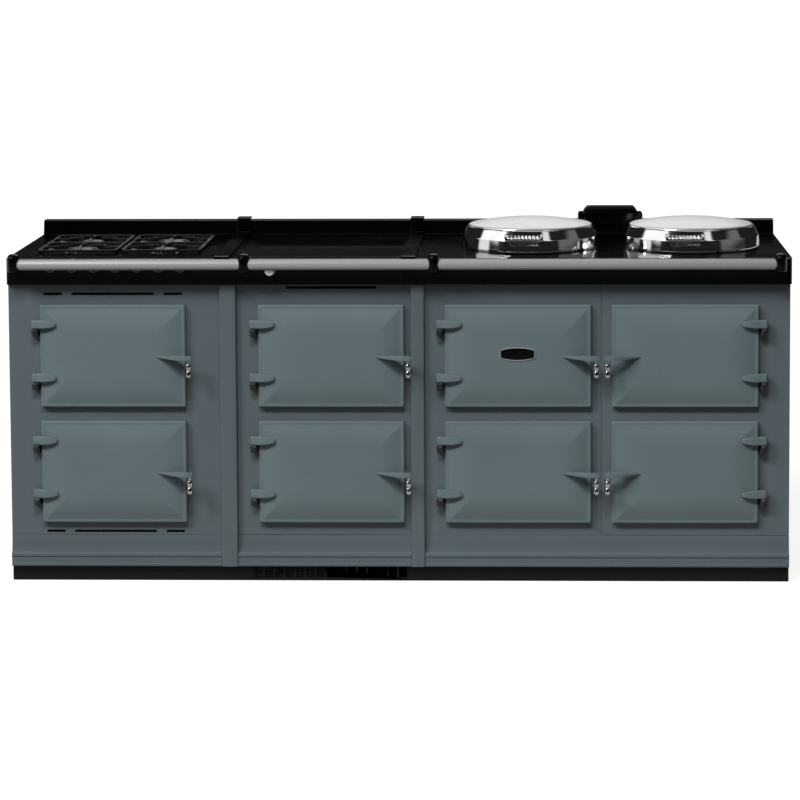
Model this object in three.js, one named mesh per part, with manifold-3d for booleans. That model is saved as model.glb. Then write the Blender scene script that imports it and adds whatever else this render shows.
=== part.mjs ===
// Cast iron range cooker: three enamelled modules side by side under black top plates.
// Left: gas hob over two ovens. Middle: warming plate over two ovens.
// Right: two covered hotplates over four ovens.
// Millimetres, +Z up, X from left to right as seen from the front, front towards -Y.
// The origin lies on the floor, under the middle of the cabinet.
import * as THREE from 'three';
import { mergeVertices } from 'three/addons/utils/BufferGeometryUtils.js';
import Module from 'manifold-3d';

const wasm = await Module();
wasm.setup();

// ---------------------------------------------------------------- sizes

// Clearances
const seat = 0.3; // between fixed pieces that rest on each other
const pinClear = 0.6; // round hinge pins and above their collars
const doorSeal = 0.5; // between a shut door and its front plate
const mouthClear = 3; // round a door's plug in the oven mouth

// Doors
const doorWidth = 388;
const doorHeight = 274;
const doorCorner = 9;
const doorEdge = 18; // thickness at the rim
const doorRise = 15; // from the rim to the flat field
const doorHip = 66; // width of the sloping border
const mouthMargin = 24; // door rim past the oven mouth
const plugDepth = 10;

// Door hinges
const pinOut = 20; // pin axis ahead of the front plate
const pinBeside = 12; // pin axis beside the door rim
const pinRadius = 5;
const lugRadius = 11;
const lugLength = 58;
const lugHeight = 22;
const upperLugRise = 86; // above the door's middle
const lowerLugDrop = 57; // below the door's middle
const collarHeight = 8;
const collarRadius = 8;
const bracketHeight = 13;
const bracketRadius = 10;

// Door handles
const armLength = 78; // on the door's face, from the free rim
const armPast = 12; // grip axis past the free rim
const armStand = 26; // grip axis ahead of the door's flat field
const armRadius = 9;
const armHeight = 14;
const gripRadius = 8;
const gripLength = 38;
const gripNeck = 7;

// Margins round the doors, left to right
const leftHingeMargin = 85;
const leftFreeMargin = 90;
const firstPostWidth = 44;
const middleHingeMargin = 58;
const middleFreeMargin = 17;
const secondPostWidth = 36;
const rightHingeMargin = 54;
const doorPairGap = 53;
const rightEndMargin = 83;

// Heights, from the floor up
const plinthHeight = 42;
const mouldingHeight = 83;
const lowerDoorMargin = 35;
const doorRowGap = 37;
const upperDoorMargin = 53;
const skirtDepth = 69;
const upstandHeight = 40;

// Depths, from the front back
const plateThickness = 14;
const ovenDepth = 470;
const ovenWall = 26;
const flueSpace = 150;
const backSheet = 10;
const postProud = 16;
const postCorner = 4;
const frontOverhang = 12;
const sideOverhang = 4;
const upstandDepth = 47;
const upstandDraft = 5; // lean of the upstand's face
const upstandFillet = 6;

// Top plates
const topThickness = 12;
const skirtThickness = 16;
const topRound = 9;
const topCorner = 14;

// Skirting moulding and plinth
const mouldingProud = 14;
const plinthSetback = 4;
const grilleMargins = [36, 7]; // from the first post and from the second
const grilleDepth = 5;
const grilleSlots = 15;
const grilleBar = 6;
const grilleBorder = 6;

// Front plate vents
const ventHeight = 7;
const ventRunLength = 50; // short vents at the ends of a row
const ventMiddleLength = 220;
const ventRunGap = 25;
const ventInset = 22; // below the top edge, above the bottom edge

// Ovens
const ovenSideWall = 22;
const runnerProud = 8;
const runnerHeight = 6;
const runnerCount = 2;
const ovenHeadroom = 26; // between the oven casting and the top plates

// Handrail
const railRadius = 14;
const railOut = 58; // rail axis ahead of the skirt
const railDrop = 9; // rail axis below the top surface
const railBossWidth = 31;
const railBossDepth = 42;
const railBossRise = 29; // domed end above the rail's axis
const railBossFall = 19; // foot below the rail's axis
const railSocket = 20; // how deep the rail sits in the end brackets
const railEndInsets = [15, 20]; // end brackets, from the ends of the top
const railPastPost = 12; // middle brackets, past the posts

// Joint strips over the gaps between the top plates
const stripWidth = 38;
const stripThickness = 7;
const topJoint = 1; // gap between neighbouring top plates
const seamShift = [7, -5]; // seams of the top plates, past the left edges of the posts

// Hotplates and lids
const hotplateRadius = 165;
const hotplateRim = 10;
const hotplateRimThickness = 6;
const hotplateDepth = 40;
const lidRadius = 188;
const lidRise = 82.5;
const crownRise = 63; // where the brushed crown starts
const lidFrontMargin = 112;
const lidEndMargin = 470; // middle of the pair, from the right end of the top
const lidGap = 62;
const lidHingeBack = 25; // hinge axis behind the lid's rim
const lidHingeRise = 45; // hinge axis above the top surface
const lidArmFoot = 18;
const lidArmHead = 62;
const lidPinRadius = 6;
const knuckleRadius = 13;
const knuckleWidth = 46;
const pedestalWidth = 14;

// Lid handles
const coilRadius = 10; // to the middle of the wire
const coilWire = 5;
const coilPitch = 10;
const coilTurns = 9;
const coilRise = 40; // above the top surface
const coilOut = 28; // ahead of the lid's rim
const coilShifts = [-18, -28]; // beside the middle of each lid
const coreRadius = 6.5;
const cheekThickness = 8;
const cheekRadius = 13;

// Flue cowl
const cowlWidth = 156;
const cowlDepth = 70;
const cowlShift = 6; // past the middle of the lids
const cowlShoulder = 66; // top of the upright body
const cowlTop = 84;
const cowlStep = 38;
const cowlEar = 13;

// Hob
const bigBurner = 50;
const smallBurner = 38;
const burnerHeight = 18;
const wellRadius = 98; // round well of each burner
const wellDepth = 14;
const wellWall = 8;
const gridWidth = 216;
const gridDepth = 400;
const gridGap = 10; // between the two pan supports
const gridFrontMargin = 137;
const gridBar = 9; // width of the bars
const gridThickness = 7;
const gridHeight = 13; // top of the nibs above the top surface
const gridNib = 3.5; // rise of the nibs over the frame
const gridReach = 26; // open circle over each burner
const gridNibLength = 32;

// Warming plate
const warmDepth = 440;
const warmThickness = 6;
const warmCorner = 12;
const warmFrontMargin = 52;
const warmSideMargins = [64, 27]; // from the first seam and from the second

// Knobs
const knobRadius = 19.5;
const knobDepth = 24;
const knobPitch = 57.4;
const knobCount = 7;
const knobDrop = 18; // axis below the top surface
const thermostatRadius = 15;
const thermostatDrop = 31;
const thermostatInset = 91; // from the first post

// ---------------------------------------------------------------- places that follow

const leftWidth = leftHingeMargin + doorWidth + leftFreeMargin;
const middleWidth = middleHingeMargin + doorWidth + middleFreeMargin;
const rightWidth = rightHingeMargin + 2 * doorWidth + doorPairGap + rightEndMargin;
const cabinetWidth = leftWidth + firstPostWidth + middleWidth + secondPostWidth + rightWidth;
const cabinetDepth = plateThickness + ovenDepth + ovenWall + flueSpace + backSheet;

const xStart = -cabinetWidth / 2;
const xFirstPost = xStart + leftWidth;
const xMiddle = xFirstPost + firstPostWidth;
const xSecondPost = xMiddle + middleWidth;
const xRight = xSecondPost + secondPostWidth;
const xEnd = xRight + rightWidth;
const xJoints = [xFirstPost + seamShift[0], xSecondPost + seamShift[1]];

const yFace = -cabinetDepth / 2; // front of the front plates
const yPlateBack = yFace + plateThickness;
const yBack = cabinetDepth / 2;
const yTop = yFace - frontOverhang; // front of the skirt
const yUpstand = yBack - upstandDepth;
const yRail = yTop - railOut;
const yPin = yFace - pinOut;

const zPlate = plinthHeight + mouldingHeight;
const zLowerDoor = zPlate + lowerDoorMargin + doorHeight / 2;
const zUpperDoor = zLowerDoor + doorHeight + doorRowGap;
const zSkirt = zUpperDoor + doorHeight / 2 + upperDoorMargin;
const zTop = zSkirt + skirtDepth;
const zUpstand = zTop + upstandHeight;
const zRail = zTop - railDrop;

const doorRows = [
  { name: 'upper', z: zUpperDoor },
  { name: 'lower', z: zLowerDoor },
];

// Hinge rim of each column of doors; side 1 is hinged on the left, -1 on the right.
const doorColumns = [
  { name: 'left', rim: xStart + leftHingeMargin, side: 1 },
  { name: 'middle', rim: xMiddle + middleHingeMargin, side: 1 },
  { name: 'right_a', rim: xRight + rightHingeMargin, side: 1 },
  { name: 'right_b', rim: xEnd - rightEndMargin, side: -1 },
];
const leftColumns = doorColumns.slice(0, 1);
const middleColumns = doorColumns.slice(1, 2);
const rightColumns = doorColumns.slice(2);

// ---------------------------------------------------------------- materials

function paint(colour, roughness, metalness) {
  return new THREE.MeshStandardMaterial({ color: colour, roughness, metalness });
}

const enamel = paint(0x5d6c70, 0.28, 0.0);
const blackEnamel = paint(0x0c0d0e, 0.16, 0.0);
const castIron = paint(0x202122, 0.6, 0.4);
const ovenIron = paint(0x2b2b2c, 0.7, 0.3);
const chrome = paint(0xd8dadc, 0.12, 1.0);
const satinChrome = paint(0xb4b6b8, 0.34, 1.0);
const brushedSteel = paint(0x9a9c9e, 0.3, 1.0);
const blackGlass = paint(0x08090a, 0.06, 0.0);
const sheetBlack = paint(0x141414, 0.5, 0.2);
const plinthBlack = paint(0x16120f, 0.55, 0.1);
const knobBlack = paint(0x17181a, 0.3, 0.1);

// ---------------------------------------------------------------- solids

// A closed geometry as a solid for joining and cutting, whichever way it is wound.
function solid(geometry) {
  const bare = geometry.clone();
  bare.deleteAttribute('normal');
  bare.deleteAttribute('uv');
  const merged = mergeVertices(bare, 1e-4);
  const at = merged.attributes.position.array;
  const kept = [];
  let volume = 0;
  for (let i = 0; i < merged.index.count; i += 3) {
    const [a, b, c] = [0, 1, 2].map((k) => merged.index.getX(i + k));
    if (a === b || b === c || a === c) continue;
    const [p, q, r] = [a, b, c].map((v) => new THREE.Vector3().fromArray(at, 3 * v));
    volume += p.dot(q.cross(r));
    kept.push(a, b, c);
  }
  if (volume < 0) kept.reverse();
  const triVerts = new Uint32Array(kept);
  return new wasm.Manifold(new wasm.Mesh({ numProp: 3, vertProperties: at, triVerts }));
}

// A solid back as a geometry.
function geometryOf(body) {
  const mesh = body.getMesh();
  const geometry = new THREE.BufferGeometry();
  const at = new THREE.BufferAttribute(new Float32Array(mesh.vertProperties), 3);
  geometry.setAttribute('position', at);
  geometry.setIndex(new THREE.BufferAttribute(new Uint32Array(mesh.triVerts), 1));
  geometry.computeVertexNormals();
  return geometry;
}

function join(...bodies) {
  return bodies.reduce((all, body) => all.add(body));
}

// A closed outline through points, straight between them.
function outline(points) {
  return new THREE.Shape(points.map(([u, v]) => new THREE.Vector2(u, v)));
}

function roundedRect(u0, u1, v0, v1, radius) {
  const shape = new THREE.Shape();
  shape.absarc(u1 - radius, v0 + radius, radius, -Math.PI / 2, 0);
  shape.absarc(u1 - radius, v1 - radius, radius, 0, Math.PI / 2);
  shape.absarc(u0 + radius, v1 - radius, radius, Math.PI / 2, Math.PI);
  shape.absarc(u0 + radius, v0 + radius, radius, Math.PI, 1.5 * Math.PI);
  shape.closePath();
  return shape;
}

function disc(u, v, radius) {
  const shape = new THREE.Shape();
  shape.absarc(u, v, radius, 0, 2 * Math.PI);
  return shape;
}

function pushed(shape, depth, curveSegments) {
  return new THREE.ExtrudeGeometry(shape, { depth, bevelEnabled: false, curveSegments });
}

// Outline in (y, z), pushed from x0 to x1.
function alongX(shape, x0, x1, segments = 4) {
  const turn = new THREE.Matrix4().set(0, 0, 1, x0, 1, 0, 0, 0, 0, 1, 0, 0, 0, 0, 0, 1);
  return solid(pushed(shape, x1 - x0, segments).applyMatrix4(turn));
}

// Outline in (x, z), pushed from y0 to y1.
function alongY(shape, y0, y1, segments = 3) {
  const turn = new THREE.Matrix4().set(1, 0, 0, 0, 0, 0, -1, y1, 0, 1, 0, 0, 0, 0, 0, 1);
  return solid(pushed(shape, y1 - y0, segments).applyMatrix4(turn));
}

// Outline in (x, y), pushed from z0 to z1.
function alongZ(shape, z0, z1, segments = 3) {
  return solid(pushed(shape, z1 - z0, segments).translate(0, 0, z0));
}

function box(x0, x1, y0, y1, z0, z1) {
  const geometry = new THREE.BoxGeometry(x1 - x0, y1 - y0, z1 - z0);
  return solid(geometry.translate((x0 + x1) / 2, (y0 + y1) / 2, (z0 + z1) / 2));
}

// Profile of (radius, height) turned about the upright line through (x, y).
function turned(profile, x, y, segments) {
  const points = profile.map(([r, h]) => new THREE.Vector2(r, h));
  const geometry = new THREE.LatheGeometry(points, segments);
  return solid(geometry.rotateX(Math.PI / 2).translate(x, y, 0));
}

// Skin over rings of points, each ring with the same count, closed at both ends.
function lofted(rings) {
  const count = rings[0].length;
  const at = rings.flat().flatMap((p) => p.toArray());
  const faces = [];
  for (let ring = 0; ring < rings.length - 1; ring += 1) {
    for (let i = 0; i < count; i += 1) {
      const next = (i + 1) % count;
      const [a, b] = [ring * count + i, ring * count + next];
      faces.push(a, b, a + count, b, b + count, a + count);
    }
  }
  for (const ring of [0, rings.length - 1]) {
    const middle = new THREE.Vector3();
    rings[ring].forEach((p) => middle.addScaledVector(p, 1 / count));
    const hub = at.length / 3;
    at.push(...middle.toArray());
    for (let i = 0; i < count; i += 1) {
      const pair = [ring * count + i, ring * count + ((i + 1) % count)];
      if (ring === 0) pair.reverse();
      faces.push(...pair, hub);
    }
  }
  const geometry = new THREE.BufferGeometry();
  geometry.setAttribute('position', new THREE.Float32BufferAttribute(at, 3));
  geometry.setIndex(faces);
  return solid(geometry);
}

// Points of a rounded rectangle with three points to a corner.
function rectRing(halfU, halfV, radius, place) {
  const ring = [];
  for (let corner = 0; corner < 4; corner += 1) {
    const signU = corner === 1 || corner === 2 ? -1 : 1;
    const signV = corner > 1 ? -1 : 1;
    for (let step = 0; step < 3; step += 1) {
      const turn = ((corner + step / 2) * Math.PI) / 2;
      const u = signU * (halfU - radius) + radius * Math.cos(turn);
      const v = signV * (halfV - radius) + radius * Math.sin(turn);
      ring.push(place(u, v));
    }
  }
  return ring;
}

const range = new THREE.Group();

function place(name, body, material, x = 0, y = 0, z = 0) {
  const mesh = new THREE.Mesh(geometryOf(body), material);
  mesh.name = name;
  mesh.position.set(x, y, z);
  range.add(mesh);
}

// ---------------------------------------------------------------- plinth

// Slab under the whole cabinet, with a shallow bay for the air grille.
const grilleX0 = xMiddle + grilleMargins[0];
const grilleX1 = xSecondPost - grilleMargins[1];

function plinth() {
  const front = yFace + plinthSetback;
  const slab = box(xStart, xEnd, front, yBack, 0, plinthHeight - seat);
  const bay = box(grilleX0, grilleX1, front - 1, front + 3 * grilleDepth, 3, plinthHeight + 1);
  return slab.subtract(bay);
}

// Slotted air grille in the plinth's bay.
function plinthGrille() {
  const front = yFace + plinthSetback;
  const x0 = grilleX0 + seat;
  const x1 = grilleX1 - seat;
  const z0 = 3 + seat;
  const z1 = plinthHeight - 2 * seat;
  let panel = box(x0, x1, front + 2, front + 2 + grilleDepth, z0, z1);
  const pitch = (x1 - x0 - 2 * grilleBorder + grilleBar) / grilleSlots;
  for (let i = 0; i < grilleSlots; i += 1) {
    const s0 = x0 + grilleBorder + i * pitch;
    const slot = box(s0, s0 + pitch - grilleBar, front, front + 9, z0 + 5, z1 - 5);
    panel = panel.subtract(slot);
  }
  return panel;
}

place('plinth', plinth(), plinthBlack);
place('plinth_grille', plinthGrille(), plinthBlack);

// ---------------------------------------------------------------- skirting moulding

// Moulded strip along the foot of each module, drawn in (y, z).
function mouldingProfile() {
  const shape = new THREE.Shape();
  const out = yFace - mouldingProud;
  const back = yPlateBack;
  const foot = plinthHeight;
  const bead = foot + 31;
  shape.moveTo(back, foot);
  shape.lineTo(out + 1, foot);
  shape.lineTo(out, foot + 6);
  shape.lineTo(out + 2, foot + 8);
  shape.lineTo(out + 2, bead - 7);
  shape.quadraticCurveTo(out - 2, bead - 4, out, bead);
  shape.quadraticCurveTo(out + 1, bead + 5, out + 6, bead + 7);
  shape.quadraticCurveTo(yFace - 2, bead + 22, yFace - 1, zPlate - seat);
  shape.lineTo(back, zPlate - seat);
  shape.closePath();
  return shape;
}

place('moulding_left', alongX(mouldingProfile(), xStart, xFirstPost - seat), enamel);
place('moulding_middle', alongX(mouldingProfile(), xMiddle + seat, xSecondPost - seat), enamel);
place('moulding_right', alongX(mouldingProfile(), xRight + seat, xEnd), enamel);

// ---------------------------------------------------------------- posts

// Flat upright cover over the joint of two modules.
function post(x0, x1) {
  const shape = new THREE.Shape();
  const front = yFace - postProud;
  shape.moveTo(x0, yPlateBack);
  shape.lineTo(x0, front + postCorner);
  shape.quadraticCurveTo(x0, front, x0 + postCorner, front);
  shape.lineTo(x1 - postCorner, front);
  shape.quadraticCurveTo(x1, front, x1, front + postCorner);
  shape.lineTo(x1, yPlateBack);
  shape.closePath();
  return alongZ(shape, plinthHeight, zSkirt - seat);
}

place('post_left', post(xFirstPost, xMiddle), enamel);
place('post_right', post(xSecondPost, xRight), enamel);

// ---------------------------------------------------------------- front plates

function mouthSpan(column) {
  const near = column.rim + column.side * mouthMargin;
  const far = column.rim + column.side * (doorWidth - mouthMargin);
  return [Math.min(near, far), Math.max(near, far)];
}

const mouthHalf = doorHeight / 2 - mouthMargin;

function ovenMouth(column, row, y0, y1) {
  const [x0, x1] = mouthSpan(column);
  return alongY(roundedRect(x0, x1, row.z - mouthHalf, row.z + mouthHalf, 10), y0, y1, 1);
}

// Bracket, collar and upright pin under one hinge lug.
function hingeBracket(x, zLug) {
  const zCollar = zLug - lugHeight / 2 - pinClear;
  const zTab = zCollar - collarHeight;
  const plan = new THREE.Shape();
  plan.moveTo(x + bracketRadius, yFace + 3);
  plan.lineTo(x + bracketRadius, yPin);
  plan.absarc(x, yPin, bracketRadius, 0, -Math.PI, true);
  plan.lineTo(x - bracketRadius, yFace + 3);
  plan.closePath();
  const tab = alongZ(plan, zTab - bracketHeight, zTab, 3);
  const pinTop = zLug + lugHeight / 2 - 2;
  const profile = [
    [0, zTab - 2], [collarRadius, zTab - 2], [collarRadius, zCollar],
    [pinRadius, zCollar], [pinRadius, pinTop], [0, pinTop],
  ];
  return tab.add(turned(profile, x, yPin, 8));
}

function lugHeights(row) {
  return [row.z + upperLugRise, row.z - lowerLugDrop];
}

function frontPlate(x0, x1, columns) {
  let plate = box(x0, x1, yFace, yPlateBack, zPlate, zSkirt - seat);
  for (const column of columns) {
    for (const row of doorRows) {
      plate = plate.subtract(ovenMouth(column, row, yFace - 1, yPlateBack + 1));
      const x = column.rim - column.side * pinBeside;
      for (const z of lugHeights(row)) plate = plate.add(hingeBracket(x, z));
    }
  }
  return plate;
}

// A row of three long vents with rounded ends.
function ventRow(x, z) {
  const pitch = (ventRunLength + ventMiddleLength) / 2 + ventRunGap;
  const vents = [-1, 0, 1].map((i) => {
    const middle = x + i * pitch;
    const half = (i === 0 ? ventMiddleLength : ventRunLength) / 2;
    const shape = roundedRect(middle - half, middle + half, z, z + ventHeight, 3);
    return alongY(shape, yFace - 1, yPlateBack + 1, 1);
  });
  return join(...vents);
}

function leftFrontPlate() {
  const middle = xStart + leftHingeMargin + doorWidth / 2;
  const upper = ventRow(middle, zSkirt - ventInset - ventHeight);
  const lower = ventRow(middle, zPlate + ventInset / 4);
  const plate = frontPlate(xStart, xFirstPost - seat, leftColumns);
  return plate.subtract(upper).subtract(lower);
}

// One long air slot right under the middle top plate.
function middleFrontPlate() {
  const middle = xMiddle + middleHingeMargin + doorWidth / 2;
  const half = doorWidth * 0.31;
  const z1 = zSkirt - 5;
  const slot = roundedRect(middle - half, middle + half, z1 - ventHeight, z1, 2.5);
  const plate = frontPlate(xMiddle + seat, xSecondPost - seat, middleColumns);
  return plate.subtract(alongY(slot, yFace - 1, yPlateBack + 1, 1));
}

place('front_plate_left', leftFrontPlate(), enamel);
place('front_plate_middle', middleFrontPlate(), enamel);

// The wide right module has a plate and an oven block for each of its two columns.
const xColumnSeam = xRight + rightHingeMargin + doorWidth + doorPairGap / 2;
const rightPlates = [[xRight + seat, xColumnSeam - seat / 2], [xColumnSeam + seat / 2, xEnd]];
place('front_plate_right_a', frontPlate(...rightPlates[0], rightColumns.slice(0, 1)), enamel);
place('front_plate_right_b', frontPlate(...rightPlates[1], rightColumns.slice(1)), enamel);

// ---------------------------------------------------------------- oven castings

// One casting for the ovens of a column, open at each mouth, with shelf runners.
function ovenCasting(x0, x1, columns) {
  const front = yPlateBack + seat;
  const back = front + ovenDepth + ovenWall;
  const top = zSkirt - ovenHeadroom;
  let casting = box(x0, x1, front, back, plinthHeight + seat, top);
  for (const column of columns) {
    for (const row of doorRows) {
      casting = casting.subtract(ovenMouth(column, row, front - 1, front + ovenDepth));
      casting = casting.add(shelfRunners(column, row, front + 30));
    }
  }
  return casting;
}

function shelfRunners(column, row, y0) {
  const [x0, x1] = mouthSpan(column);
  const pitch = (2 * mouthHalf) / (runnerCount + 1);
  const runners = [];
  for (let i = 1; i <= runnerCount; i += 1) {
    const z = row.z - mouthHalf + i * pitch;
    const y1 = y0 + ovenDepth - 60;
    runners.push(box(x0 - 2, x0 + runnerProud, y0, y1, z, z + runnerHeight));
    runners.push(box(x1 - runnerProud, x1 + 2, y0, y1, z, z + runnerHeight));
  }
  return join(...runners);
}

const shellInside = ovenSideWall;
const leftOvens = [xStart + shellInside, xFirstPost - seat, leftColumns];
const middleOvens = [xMiddle + seat, xSecondPost - seat, middleColumns];
const rightOvensA = [...rightPlates[0], rightColumns.slice(0, 1)];
const rightOvensB = [rightPlates[1][0], xEnd - shellInside, rightColumns.slice(1)];

place('oven_casting_left', ovenCasting(...leftOvens), ovenIron);
place('oven_casting_middle', ovenCasting(...middleOvens), ovenIron);
place('oven_casting_right_a', ovenCasting(...rightOvensA), ovenIron);
place('oven_casting_right_b', ovenCasting(...rightOvensB), ovenIron);

// ---------------------------------------------------------------- cabinet shell

// Two side panels and the back sheet, with rows of air slots across the back.
function cabinetShell() {
  const front = yPlateBack + seat;
  const z0 = plinthHeight;
  const z1 = zSkirt - seat;
  const plan = outline([
    [xStart, front], [xStart + backSheet, front],
    [xStart + backSheet, yBack - backSheet], [xEnd - backSheet, yBack - backSheet],
    [xEnd - backSheet, front], [xEnd, front], [xEnd, yBack], [xStart, yBack],
  ]);
  let shell = alongZ(plan, z0, z1);
  for (const [x0, x1] of [[xStart, xFirstPost], [xMiddle, xSecondPost], [xRight, xEnd]]) {
    for (let i = 0; i < 3; i += 1) {
      const z = z1 - 60 - i * 24;
      const half = (x1 - x0) / 2 - 90;
      const middle = (x0 + x1) / 2;
      const slot = box(middle - half, middle + half, yBack - 2 * backSheet, yBack + 1, z, z + 8);
      shell = shell.subtract(slot);
    }
  }
  return shell;
}

place('cabinet_shell', cabinetShell(), sheetBlack);

// ---------------------------------------------------------------- top plates

// Closed section of a top plate and its leaning upstand, grown by some thickness.
function topSection(grow, base, back) {
  const shape = new THREE.Shape();
  const front = yTop - grow;
  const top = zTop + grow;
  const wall = yUpstand - grow;
  const crest = zUpstand + grow;
  shape.moveTo(front, base);
  shape.lineTo(front, top - topRound);
  shape.quadraticCurveTo(front, top, front + topRound, top);
  shape.lineTo(wall - upstandFillet, top);
  shape.quadraticCurveTo(wall, top, wall, top + upstandFillet);
  shape.lineTo(wall + upstandDraft, crest - topRound);
  shape.quadraticCurveTo(wall + upstandDraft, crest, wall + upstandDraft + topRound, crest);
  shape.lineTo(back, crest);
  shape.lineTo(back, base);
  shape.closePath();
  return shape;
}

// The hollow under a top plate.
function topHollow(x0, x1) {
  const y0 = yTop + skirtThickness;
  const y1 = yBack - topThickness;
  return box(x0, x1, y0, y1, zSkirt - 1, zTop - topThickness);
}

function topPlate(x0, x1, endLeft, endRight) {
  const full = alongX(topSection(0, zSkirt, yBack), x0, x1, 3);
  const inset = (end) => (end ? skirtThickness : 0);
  const hollow = topHollow(x0 + inset(endLeft), x1 - inset(endRight));
  const ribs = [x0 + inset(endLeft), x1 - inset(endRight) - topThickness].map((x) =>
    box(x, x + topThickness, yTop + topRound, yBack - 2, zSkirt + 12, zTop - topThickness / 2));
  let plate = full.subtract(hollow).add(join(...ribs));
  if (endLeft) plate = plate.subtract(frontCorner(x0, 1));
  if (endRight) plate = plate.subtract(frontCorner(x1, -1));
  return plate;
}

// What a rounded front corner takes off, at the plate's end.
function frontCorner(x, side) {
  const plan = new THREE.Shape();
  plan.moveTo(x - side, yTop - 1);
  plan.lineTo(x + side * topCorner, yTop - 1);
  plan.lineTo(x + side * topCorner, yTop);
  plan.quadraticCurveTo(x, yTop, x, yTop + topCorner);
  plan.lineTo(x - side, yTop + topCorner);
  plan.closePath();
  return alongZ(plan, zSkirt - 1, zTop + 1, 3);
}

// Arm and domed oval boss on the skirt, bored for the handrail from one side or right through.
function railBracket(x0, boreLeft, boreRight) {
  const x1 = x0 + railBossWidth;
  const x = (x0 + x1) / 2;
  const half = railBossWidth / 2;
  const foot = -railBossFall;
  const arm = new THREE.Shape();
  arm.moveTo(yTop + 6, zTop - topRound);
  arm.lineTo(yTop, zTop - topRound);
  arm.lineTo(yRail, zRail + railRadius + 2);
  arm.lineTo(yRail, zRail - railRadius - 2);
  arm.lineTo(yTop, zRail - railBossFall - 8);
  arm.lineTo(yTop + 6, zRail - railBossFall - 8);
  arm.closePath();
  const profile = [
    [0, foot], [half - 4, foot], [half, foot + 5], [half, railBossRise - 12],
    [half - 3, railBossRise - 5], [half - 8, railBossRise - 1], [0, railBossRise],
  ];
  const boss = turned(profile, 0, 0, 16)
    .scale([1, railBossDepth / railBossWidth, 1])
    .translate([x, yRail, zRail]);
  const bracket = alongX(arm, x0 + 4, x1 - 4).add(boss);
  const from = boreLeft ? x0 - 1 : x1 - railSocket;
  const to = boreRight ? x1 + 1 : x0 + railSocket;
  return bracket.subtract(alongX(disc(yRail, zRail, railRadius + seat), from, to, 8));
}

const topStart = xStart - sideOverhang;
const topEnd = xEnd + sideOverhang;
const railStops = [
  topStart + railEndInsets[0],
  xMiddle + railPastPost,
  xRight + railPastPost,
  topEnd - railEndInsets[1] - railBossWidth,
];

function leftTopPlate() {
  let plate = topPlate(topStart, xJoints[0] - topJoint / 2, true, false);
  plate = plate.add(railBracket(railStops[0], false, true));
  for (const burner of burners) {
    plate = plate.add(burnerBowl(burner)).subtract(burnerWell(burner));
  }
  return plate;
}

function middleTopPlate() {
  const x0 = xJoints[0] + topJoint / 2;
  const x1 = xJoints[1] - topJoint / 2;
  const plate = topPlate(x0, x1, false, false);
  const bracket = railBracket(railStops[1], true, true);
  const bed = alongZ(warmOutline(seat), zTop - warmThickness - seat, zTop + 1, 2);
  return plate.add(bracket).subtract(bed);
}

function rightTopPlate() {
  let plate = topPlate(xJoints[1] + topJoint / 2, topEnd, false, true);
  plate = plate.add(railBracket(railStops[2], true, true));
  plate = plate.add(railBracket(railStops[3], true, false));
  for (const x of lidCentres) {
    plate = plate.subtract(hotplateWell(x));
    plate = plate.add(hingePedestals(x));
  }
  return plate;
}

// ---------------------------------------------------------------- hotplates

const lidMiddle = topEnd - lidEndMargin;
const lidCentres = [-1, 1].map((s) => lidMiddle + s * (lidRadius + lidGap / 2));
const yLid = yTop + lidFrontMargin + lidRadius;
const yLidHinge = yLid + lidRadius + lidHingeBack;
const zLidHinge = zTop + lidHingeRise;

// Stepped round hole that the hotplate's rim sits in.
function hotplateWell(x) {
  const rim = zTop - hotplateRimThickness - seat;
  const profile = [
    [0, zTop - 2 * topThickness], [hotplateRadius - hotplateRim + seat, zTop - 2 * topThickness],
    [hotplateRadius - hotplateRim + seat, rim], [hotplateRadius + seat, rim],
    [hotplateRadius + seat, zTop + 1], [0, zTop + 1],
  ];
  return turned(profile, x, yLid, 20);
}

// Thick iron disc with a rim, a turned groove and a tapered underside.
function hotplate(x) {
  const neck = hotplateRadius - hotplateRim;
  const rim = zTop - hotplateRimThickness;
  const foot = zTop - hotplateDepth;
  const profile = [
    [0, foot], [neck * 0.8, foot], [neck - 1, foot + 16], [neck, rim],
    [hotplateRadius, rim], [hotplateRadius, zTop], [neck + 3, zTop],
    [neck + 1, zTop - 1.5], [neck - 1, zTop], [0, zTop],
  ];
  return turned(profile, x, yLid, 20);
}

place('hotplate_left', hotplate(lidCentres[0]), castIron);
place('hotplate_right', hotplate(lidCentres[1]), castIron);

// ---------------------------------------------------------------- lids

// Radius and height of the lid's outside, above the top surface.
function lidProfile(grow) {
  const r = lidRadius + grow;
  return [
    [r, seat], [r, 10], [r - 2, 12], [r - 3.5, 33], [r - 5, 36], [r - 15.5, 58],
    [r - 18.5, 60.5], [r - 20, crownRise], [r * 0.84, crownRise + 3.5],
    [r * 0.6, crownRise + 11], [r * 0.32, crownRise + 17], [0, lidRise],
  ];
}

// Domed cover with a flat underside, and the arm and knuckle of its rear hinge.
function lid() {
  const dome = turned([[0, seat], ...lidProfile(0)], 0, 0, 30);
  const back = lidRadius + lidHingeBack;
  const arm = new THREE.Shape();
  arm.moveTo(lidRadius - 20, lidArmFoot);
  arm.lineTo(lidRadius - 2, lidArmFoot);
  arm.lineTo(back, lidHingeRise - knuckleRadius);
  arm.absarc(back, lidHingeRise, knuckleRadius, -Math.PI / 2, Math.PI / 2);
  arm.lineTo(lidRadius - 20, lidArmHead);
  arm.closePath();
  const bore = disc(back, lidHingeRise, lidPinRadius + pinClear);
  const half = knuckleWidth / 2;
  const hinge = alongX(arm, -half, half, 3);
  return dome.add(hinge).subtract(alongX(bore, -half - 1, half + 1, 5));
}

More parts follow.
